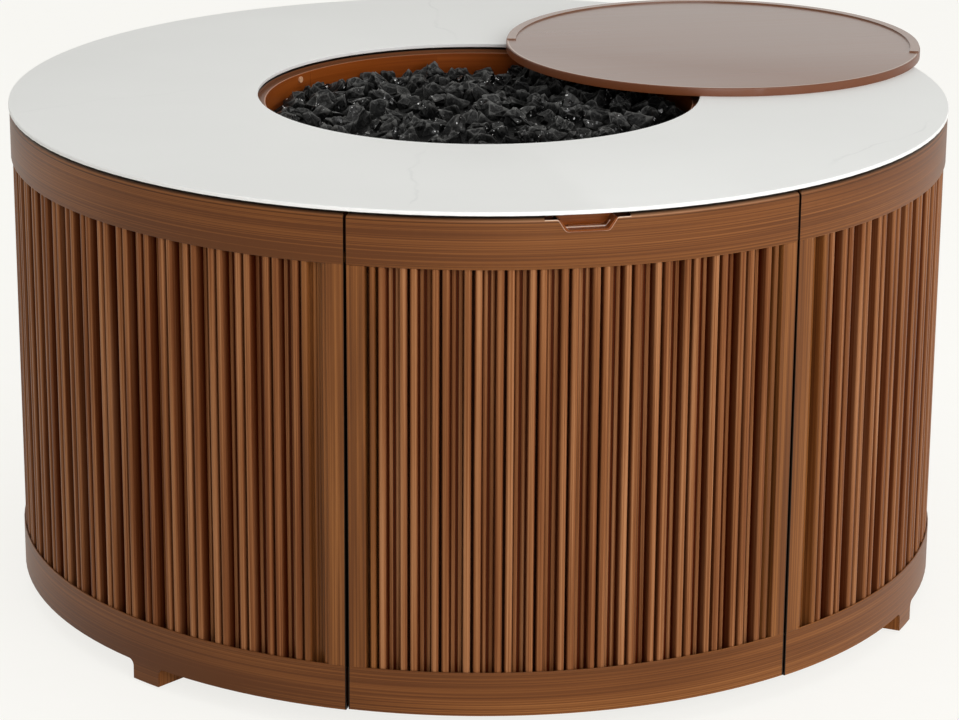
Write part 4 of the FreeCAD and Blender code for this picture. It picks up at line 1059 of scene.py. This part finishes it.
# %% A tree that heaps the blocks
def heap_tree(blocks):
    tree = Tree("heap", [("Seed", "Int"), ("Material", "Material")])
    choices = tree.add("GeometryNodeCollectionInfo", values={
        "Collection": blocks, "Separate Children": True, "Reset Children": True})
    size = tree.add("GeometryNodeInputNamedAttribute", {"data_type": "FLOAT"}, {"Name": "size"})
    spin = tree.add("FunctionNodeRandomValue", {"data_type": "FLOAT_VECTOR"}, {
        "Seed": tree.given("Seed"), 1: (math.tau, math.tau, math.tau)})
    pick = tree.add("FunctionNodeRandomValue", {"data_type": "INT"}, {
        "Seed": tree.given("Seed"), 4: 0, 5: BLOCK_COUNT - 1})
    points = tree.add("GeometryNodeMeshToPoints", values={"Mesh": tree.given("Geometry")})
    heap = tree.add("GeometryNodeInstanceOnPoints", values={
        "Points": points.outputs[0], "Instance": choices.outputs[0], "Pick Instance": True,
        "Instance Index": pick.outputs[2], "Rotation": spin.outputs[0], "Scale": size.outputs[0]})
    real = tree.add("GeometryNodeRealizeInstances", values={0: heap.outputs[0]})
    normal = tree.add("GeometryNodeInputNormal")
    axes = tree.add("ShaderNodeSeparateXYZ", values={0: normal.outputs[0]})
    facing = tree.store("up", real.outputs[0], axes.outputs["Z"], "POINT")
    return tree.finish(facing.outputs[0])


# %% [markdown]
# The points lie in an uneven honeycomb, a little lower towards the bowl's wall, because the heap
# is crowned like the solid bed under it. Smaller stones are scattered on top and kept below a
# fixed height. Simulated falling stones would pack better, but points take no time and always
# give the same heap.

# %% Places for the stones
STONE_PITCH = 36 * MM
JITTER = 0.25
STONE_SIZES = (18, 28)
STONE_RISES = (-9, 1)
SMALL_COUNT = 50
SMALL_SIZES = (10, 18)
SMALL_RISES = (3, 9)
HEAP_LIMIT = 626 * MM


def heap_height(radius):
    """Height of the heap's middle layer at a distance from the axis."""
    share = radius / BOWL_RADIUS
    return HEAP_MIDDLE - HEAP_CROWN * share * share


def large_stones(chance):
    """(place, size) of each stone in the honeycomb. Those near the wall are pushed inwards."""
    row_step = STONE_PITCH * math.sqrt(3) / 2
    rows = int(BOWL_RADIUS / row_step) + 1
    for row in range(-rows, rows + 1):
        for column in range(-rows - 1, rows + 2):
            x = (column + 0.5 * (row % 2)) * STONE_PITCH
            x += chance.uniform(-JITTER, JITTER) * STONE_PITCH
            y = row * row_step + chance.uniform(-JITTER, JITTER) * STONE_PITCH
            size = chance.uniform(*STONE_SIZES) * MM
            reach = math.hypot(x, y)
            if reach < BOWL_RADIUS + 6 * MM:
                inward = min(1, (BOWL_RADIUS - size) / max(reach, size))
                height = heap_height(reach * inward) + chance.uniform(*STONE_RISES) * MM
                yield (x * inward, y * inward, height), size


def small_stones(chance):
    """(place, size) of each stone on top."""
    for _ in range(SMALL_COUNT):
        turn = chance.uniform(0, math.tau)
        reach = math.sqrt(chance.random()) * (BOWL_RADIUS - 18 * MM)
        size = chance.uniform(*SMALL_SIZES) * MM
        height = min(heap_height(reach) + chance.uniform(*SMALL_RISES) * MM, HEAP_LIMIT - size)
        yield (reach * math.cos(turn), reach * math.sin(turn), height), size


# %% [markdown]
# Now the blocks are made, the tree is run on the points, and the loose blocks are removed again.
# One mesh holds the whole heap, because it stands for one CAD piece.

# %% The heap in the bowl
BLOCK_SEED = 7
HEAP_SEED = 5

chance = random.Random(BLOCK_SEED)
blocks = bpy.data.collections.new("blocks")
for i in range(BLOCK_COUNT):
    blocks.objects.link(broken_block("block_%02d" % i, chance))
stones = list(large_stones(chance)) + list(small_stones(chance))
heap_mesh = bpy.data.meshes.new("heap_points")
heap_mesh.from_pydata([place for place, size in stones], [], [])
mark_points(heap_mesh, "size", [size for place, size in stones])
heap = grown("fire_stones_shown", heap_mesh, heap_tree(blocks),
             {"Seed": HEAP_SEED, "Material": dark_stone})
for block in list(blocks.objects):
    bpy.data.objects.remove(block)
bpy.data.collections.remove(blocks)
finish_piece(heap, "table", "lava_stone", "fire_stones")
print("stones:", len(stones), "faces:", len(heap.data.polygons))

# %% [markdown]
# ## Floor
#
# The surround is plain and pale, and has no line where floor and wall meet. A wide floor in the
# same tone does both. It takes the table's soft shadow as a diffuse surface does, and what the
# camera sees of it is mixed with an even glow, so that it keeps its tone away from the lamps.

# %% Floor
PALE = (248, 247, 243)
FLOOR_HALF = 30
GLOW = 1.14
GLOW_SHARE = 0.75


def floor_finish():
    """A diffuse floor that glows for the camera, and a little in mirrors."""
    finish = new_finish("floor")
    grit = finish.noise(finish.place(), 30, detail=2.0)
    pale = finish.ramp(grit, [(0.3, rgb(240, 239, 235)), (0.7, rgb(244, 243, 239))])
    diffuse = finish.add("BsdfDiffuse", values={"Color": pale})
    glow = finish.add("Emission", values={"Color": rgba(*PALE), "Strength": GLOW})
    direct = finish.ray("Camera") + finish.ray("Glossy") * 0.4
    seen = finish.maths("ADD", direct, finish.ray("Transmission"), clamp=True)
    mixed = finish.add("MixShader", values={0: seen * GLOW_SHARE, 1: diffuse, 2: glow})
    finish.add("OutputMaterial", values={"Surface": mixed})
    return finish.owner


floor_mesh = bpy.data.meshes.new("floor")
corners = [(x * FLOOR_HALF, y * FLOOR_HALF, 0) for x, y in ((-1, -1), (1, -1), (1, 1), (-1, 1))]
floor_mesh.from_pydata(corners, [], [(0, 1, 2, 3)])
floor = placed("floor", floor_mesh)
dress(floor, floor_finish())
print("floor:", 2 * FLOOR_HALF, "m wide")

# %% [markdown]
# ## Light
#
# The light of a photo studio comes from large soft panels and from pale walls. The world stands
# for the walls: its light is a little stronger from the right and from behind, and the camera
# itself sees it as an even pale tone. A photographed surround would light the table too, but it
# would also mirror in the paint.

# %% World
def studio_world():
    finish = Finish(bpy.data.worlds.new("studio"))
    x, y, z = finish.parts(finish.add("TexCoord", out="Generated"))
    strength = y * 0.26 + (x * 0.14 + 0.58)
    soft = finish.add("Background", values={"Color": rgba(*PALE), "Strength": strength})
    plain = finish.add("Background", values={"Color": rgba(*PALE), "Strength": 1.0})
    seen = finish.maths("MAXIMUM", finish.ray("Camera"), finish.ray("Transmission"))
    mixed = finish.add("MixShader", values={0: seen, 1: soft, 2: plain})
    finish.add("OutputWorld", values={"Surface": mixed})
    return finish.owner


scene.world = studio_world()
print("world:", len(scene.world.node_tree.nodes), "nodes")


# %% [markdown]
# Three wide panels stand for the studio's lamps: above, in front and to the right. The front one
# is the strongest. Wide lamps give soft shadows and broad gloss, where a point lamp gives hard
# edges.

# %% Lamps
LAMP_TARGET = Vector((0, 0, 0.4))


def lamp(name, place, size, watts):
    """A soft panel that looks at the drum's upper half."""
    data = bpy.data.lights.new(name, "AREA")
    data.shape = "RECTANGLE"
    data.size, data.size_y = size
    data.energy = watts
    thing = placed(name, data)
    thing.location = place
    thing.rotation_mode = "QUATERNION"
    thing.rotation_quaternion = (LAMP_TARGET - Vector(place)).to_track_quat("-Z", "Y")
    print(name, "lamp:", watts, "W")


lamp("overhead", (-0.3, -0.3, 3.4), (3.0, 2.4), 13)
lamp("front", (1.1, -4.8, 2.1), (4.6, 2.8), 136)
lamp("right", (4.2, -2.6, 1.7), (1.6, 2.2), 22)
